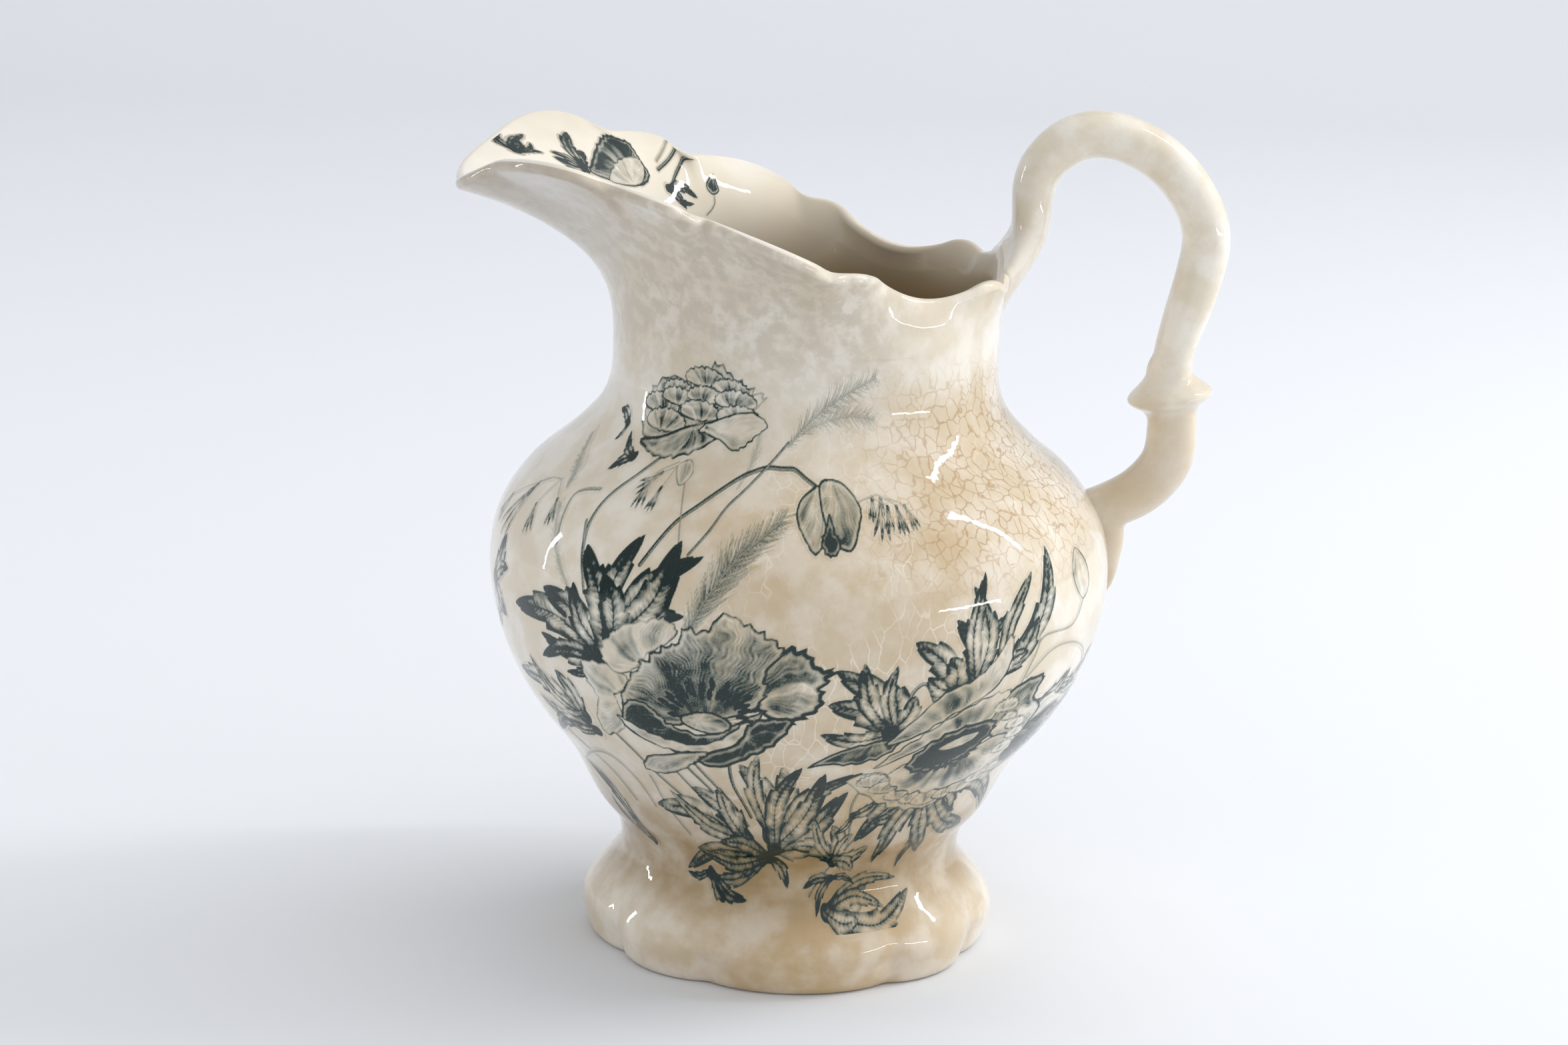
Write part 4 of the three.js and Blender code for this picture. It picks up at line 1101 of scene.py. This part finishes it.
def glazedEarthenware(name, inked=False, inside=False):
    # Fired white earthenware under a thick clear lead-type glaze: a creamy body with tea stains,
    # a net of fine crazing, and a wet gloss over soft hollows. On the outside, painted shade greys
    # the neck toward its left and darkens it under the spout.
    material = bpy.data.materials.new(name)
    material.use_nodes = True
    tree = material.node_tree
    tree.nodes.clear()

    def node(kind, links=None, values=None, **settings):
        return addNode(material, kind, links, values, **settings)

    def ramp(source, low, high, start=0.0, end=1.0):
        values = {"From Min": low, "From Max": high, "To Min": start, "To Max": end}
        return node("ShaderNodeMapRange", {"Value": source}, values,
                    interpolation_type="SMOOTHSTEP").outputs[0]

    def maths(kind, a, b):
        links = {k: v for k, v in ((0, a), (1, b)) if not isinstance(v, (int, float))}
        values = {k: v for k, v in ((0, a), (1, b)) if isinstance(v, (int, float))}
        return node("ShaderNodeMath", links, values, operation=kind, use_clamp=True).outputs[0]

    def blend(factor, a, b):
        links = {"Factor": factor}
        values = {}
        for socket, colour in ((6, a), (7, b)):
            if isinstance(colour, str):
                values[socket] = hexColour(colour)
            else:
                links[socket] = colour
        return node("ShaderNodeMix", links, values, data_type="RGBA").outputs[2]

    def cloud(scale, detail, seed, roughness=0.55):
        # scale is the size of one patch in millimetres
        placing = {"Location": (seed, seed * 2, seed * 3), "Scale": (1 / mm / scale,) * 3}
        moved = node("ShaderNodeMapping", {"Vector": coordinates.outputs["Object"]}, placing)
        values = {"Scale": 1.0, "Detail": detail, "Roughness": roughness}
        return node("ShaderNodeTexNoise", {"Vector": moved.outputs[0]}, values).outputs[0]

    def placeMask(name):
        # 1 inside all the soft edges of a place, 0 outside
        shade = None
        for source, edge in zip((across, across, height, height), stainAndShadeEdges[name]):
            if edge:
                side = ramp(source, *edge)
                shade = side if shade is None else maths("MULTIPLY", shade, side)
        return shade

    coordinates = node("ShaderNodeTexCoord")
    spot = node("ShaderNodeSeparateXYZ", {"Vector": coordinates.outputs["Object"]})
    height = spot.outputs[2]
    across = spot.outputs[0]
    wide = cloud(46, 3, 3.1)
    patch = cloud(13, 4, 7.7)
    fleck = cloud(4.2, 3, 1.3, 0.6)

    # tea stain: strongest at the waist, the foot and the middle of the belly, least at the mouth
    waist = placeMask("waist")
    middle = placeMask("middle")
    shoulder = placeMask("shoulder")
    # painted shade on the upper neck, less toward its lit right side
    neck = placeMask("neck")
    central = maths("ADD", maths("MULTIPLY", placeMask("centre"), 0.65), 0.3)
    low = maths("MULTIPLY", placeMask("bottom"), central)
    amount = maths("ADD", maths("MULTIPLY", low, 0.7), maths("MULTIPLY", middle, 0.68))
    amount = maths("ADD", amount, maths("MULTIPLY", shoulder, 0.26))
    amount = maths("ADD", amount, maths("MULTIPLY", ramp(wide, 0.42, 0.68), 0.22))
    amount = maths("MULTIPLY", amount, ramp(patch, 0.25, 0.6, 0.62, 1.0))
    amount = maths("MULTIPLY", amount, ramp(fleck, 0.3, 0.62, 0.85, 1.0))
    amount = maths("ADD", amount, maths("MULTIPLY", placeMask("lowHandle"), 0.5))
    colour = blend(ramp(patch, 0.38, 0.62), glaze["cream"], glaze["deepCream"])
    # painted shade: the neck greyed on its left and darker under the spout
    colour = blend(maths("MULTIPLY", neck, ramp(fleck, 0.36, 0.62, 0.35, 0.9)), colour, glaze["neckShadeGrey"])
    paintedShadeUnderSpout = maths("MULTIPLY", maths("MULTIPLY", placeMask("spout"), neck), 0.6)
    colour = blend(paintedShadeUnderSpout, colour, glaze["spout"])
    colour = blend(amount, colour, glaze["tan"])
    colour = blend(maths("MULTIPLY", low, ramp(patch, 0.3, 0.7, 0.2, 0.6)), colour, glaze["stain"])
    colour = blend(maths("MULTIPLY", waist, ramp(patch, 0.3, 0.7, 0.45, 0.85)), colour, glaze["waist"])
    if inside:
        # clean cream near the lip, darker brown further down
        cleaner = blend(ramp(wide, 0.35, 0.65), glaze["cream"], glaze["deepCream"])
        colour = blend(placeMask("deepInside"), cleaner, glaze["inside"])

    # crazing: cells about 4 mm across; the lines are drawn wider than real ones so that they show
    def net(size, seed, tall, width, wander):
        where = coordinates.outputs["Object"]
        bend = node("ShaderNodeTexNoise", {"Vector": where}, {"Scale": 160.0, "Detail": 2.0})
        bent = node("ShaderNodeVectorMath", {0: bend.outputs["Color"]}, {1: (wander,) * 3},
                    operation="MULTIPLY")
        moved = node("ShaderNodeVectorMath", {0: where, 1: bent.outputs[0]}, operation="ADD")
        scale = 1 / mm / size
        placing = {"Location": (seed, 0, seed), "Scale": (scale, scale, scale * tall)}
        mapped = node("ShaderNodeMapping", {"Vector": moved.outputs[0]}, placing)
        values = {"Scale": 1.0, "Randomness": 1.0}
        cells = node("ShaderNodeTexVoronoi", {"Vector": mapped.outputs[0]}, values,
                     feature="DISTANCE_TO_EDGE")
        return ramp(cells.outputs["Distance"], width, 0.0)

    if not inside:
        fade = maths("MULTIPLY", middle, 0.5)
        fade = maths("MULTIPLY", ramp(cloud(24, 2, 9.0), 0.42, 0.6), fade)
        paleLines = net(glaze["paleCrackSize"], 5.1, 0.45, 0.05, 0.004)
        colour = blend(maths("MULTIPLY", paleLines, fade), colour, glaze["paleCrack"])
        fade = maths("ADD", maths("MULTIPLY", shoulder, 0.62), 0.03)
        fade = maths("MULTIPLY", ramp(fleck, 0.3, 0.55, 0.25, 1.0), fade)
        brownLines = net(glaze["crackSize"], 2.2, 0.8, 0.09, 0.006)
        colour = blend(maths("MULTIPLY", brownLines, fade), colour, glaze["crack"])

    if inked:
        # dark teal transfer ink under the glaze, thin where it is light
        ink = node("ShaderNodeAttribute", attribute_name="ink").outputs["Fac"]
        grain = cloud(0.5, 2, 4.0, 0.7)  # the dots of the engraving, drawn coarse enough to show
        strength = maths("MULTIPLY", ink, ramp(grain, 0.25, 0.62, 0.86, 1.12))
        strength = maths("MULTIPLY", strength, ramp(patch, 0.2, 0.5, 0.86, 1.0))
        inkColour = blend(ink, glaze["inkThin"], glaze["ink"])
        colour = blend(maths("MULTIPLY", strength, 1.08), colour, inkColour)

    hollow = cloud(17, 1, 5.5)
    ripples = cloud(6, 2, 8.1)
    bumps = maths("ADD", maths("MULTIPLY", hollow, 0.75), maths("MULTIPLY", ripples, 0.12))
    skin = node("ShaderNodeBump", {"Height": bumps}, {"Strength": 1.0, "Distance": 0.0006})
    shader = node("ShaderNodeBsdfPrincipled", {"Base Color": colour, "Coat Normal": skin.outputs[0]}, {
        "Roughness": glaze["roughness"], "IOR": 1.5, "Specular IOR Level": 0.05,
        "Coat Weight": 1.0, "Coat Roughness": glaze["coatRoughness"], "Coat IOR": 1.48,
    })
    node("ShaderNodeOutputMaterial", {"Surface": shader.outputs[0]})
    return material


plainGlaze = glazedEarthenware("tea_stain_and_painted_shade_glazed_earthenware")
insideGlaze = glazedEarthenware("glaze_inside_browner_further_down", inside=True)
printedGlaze = glazedEarthenware("transfer_printed_earthenware", inked=True)
for piece in (vesselPiece, footPiece, handlePiece):
    piece.data.materials.clear()
    piece.data.materials.append(plainGlaze)
vesselPiece.data.materials.append(insideGlaze)
inner = np.zeros(len(vesselPiece.data.polygons), np.int32)
inner[firstInside * columns:] = 1
vesselPiece.data.polygons.foreach_set("material_index", inner)
for piece in prints:
    piece.data.materials.append(printedGlaze)
print("finishes done")

stage = {
    # metres
    "paper": "#e2e5ea",
    "halfWidth": 4,
    "frontEdge": -3,
    "wallPlace": 2.4,
    "wallHeight": 3,
    "bend": 0.8,
    "room": "#f3f3f3",
    "roomFromLeft": (0.36, 1.0),  # the room's strength on the left and on the right
    "roomFromBelow": (0.0, 0.25),  # what is added from below to above
}


def mattPaper(name, colour):
    # plain matt studio paper: no shine, no pattern
    material = bpy.data.materials.new(name)
    material.use_nodes = True
    shader = material.node_tree.nodes["Principled BSDF"]
    shader.inputs["Base Color"].default_value = hexColour(colour)
    shader.inputs["Roughness"].default_value = 0.8
    return material


clearSelection()
bpy.ops.mesh.primitive_plane_add(size=1)
floor = bpy.context.object
floor.name = "floor"
half = stage["halfWidth"]
corners = [(x, y, 0) for y in (stage["frontEdge"], stage["wallPlace"]) for x in (-half, half)]
floor.data.vertices.foreach_set("co", np.array(corners, float).ravel())
bpy.ops.object.mode_set(mode="EDIT")
bpy.ops.mesh.select_mode(type="EDGE")
bpy.ops.mesh.select_all(action="DESELECT")
bpy.ops.object.mode_set(mode="OBJECT")
for edge in floor.data.edges:
    edge.select = all(floor.data.vertices[v].co.y > 1 for v in edge.vertices)
bpy.ops.object.mode_set(mode="EDIT")
bpy.ops.mesh.extrude_region_move(TRANSFORM_OT_translate={"value": (0, 0, stage["wallHeight"])})
bpy.ops.object.mode_set(mode="OBJECT")
bend = floor.modifiers.new("bend", "BEVEL")
bend.width = stage["bend"]
bend.segments = 24
bpy.ops.object.modifier_apply(modifier=bend.name)
bpy.ops.object.shade_smooth()
floor.data.materials.append(mattPaper("matt_studio_paper", stage["paper"]))

lamps = {
    # place, aim, width, height, watts
    "windowRight": ((1.7, 0.45, 0.8), (0, 0, 0.12), 1.2, 1.3, 15),
    "skyAbove": ((0.5, 0.5, 2.4), (0, 0, 0.1), 2.2, 1.8, 9),
    "softLeft": ((-1.4, -0.9, 0.6), (0, 0, 0.12), 1.2, 1.2, 3.5),
    "stripLeft": ((-1.42, 0.5, 0.36), (0, 0, 0.14), 0.045, 0.66, 2.2),
    "stripLowRight": ((1.28, -0.78, 0.15), (0, 0, 0.14), 0.72, 0.036, 2.0),
    "stripHighRight": ((1.0, 0.12, 1.0), (0, 0, 0.14), 0.065, 0.72, 3.4),
}


def areaLight(name, location, target, width, height, power):
    data = bpy.data.lights.new(name, "AREA")
    data.shape = "RECTANGLE"
    data.size, data.size_y = width, height
    data.energy = power
    lamp = bpy.data.objects.new(name, data)
    lamp.location = location
    lamp.rotation_euler = (Vector(target) - Vector(location)).to_track_quat("-Z", "Y").to_euler()
    lamp.visible_glossy = name.startswith("strip")
    bpy.context.scene.collection.objects.link(lamp)


for name, values in lamps.items():
    areaLight(name, *values)

# a soft room: bright to the right and above, dimmer to the left and below
world = bpy.data.worlds.new("room")
bpy.context.scene.world = world
world.use_nodes = True
roomShade = world.node_tree.nodes["Background"]
direction = addNode(world, "ShaderNodeTexCoord")
parts = addNode(world, "ShaderNodeSeparateXYZ", {"Vector": direction.outputs["Generated"]})
low, high = stage["roomFromLeft"]
limits = {"From Min": -1.0, "From Max": 1.0, "To Min": low, "To Max": high}
fromLeft = addNode(world, "ShaderNodeMapRange", {"Value": parts.outputs[0]}, limits,
                   interpolation_type="SMOOTHSTEP")
low, high = stage["roomFromBelow"]
limits = {"From Min": -0.4, "From Max": 1.0, "To Min": low, "To Max": high}
fromBelow = addNode(world, "ShaderNodeMapRange", {"Value": parts.outputs[2]}, limits)
total = addNode(world, "ShaderNodeMath", {0: fromLeft.outputs[0], 1: fromBelow.outputs[0]}, operation="ADD")
roomShade.inputs[0].default_value = hexColour(stage["room"])
world.node_tree.links.new(total.outputs[0], roomShade.inputs[1])

view = {
    # millimetres, and degrees of roll
    "place": (-84.0, -1029.8, 383.4),
    "target": (-13.73, 0.3, 118.3),
    "lens": 88.16,
    "roll": 1.95,
}
cameraData = bpy.data.cameras.new("camera")
cameraData.lens = view["lens"]
cameraData.sensor_width = 36
camera = bpy.data.objects.new("camera", cameraData)
sight = Vector(view["target"]) - Vector(view["place"])
turned = sight.to_track_quat("-Z", "Y").to_matrix() @ Matrix.Rotation(math.radians(view["roll"]), 3, "Z")
camera.matrix_world = Matrix.Translation(Vector(view["place"]) * mm) @ turned.to_4x4()
bpy.context.scene.collection.objects.link(camera)
bpy.context.scene.camera = camera
bpy.context.scene.view_settings.view_transform = "Standard"
print("stage done")
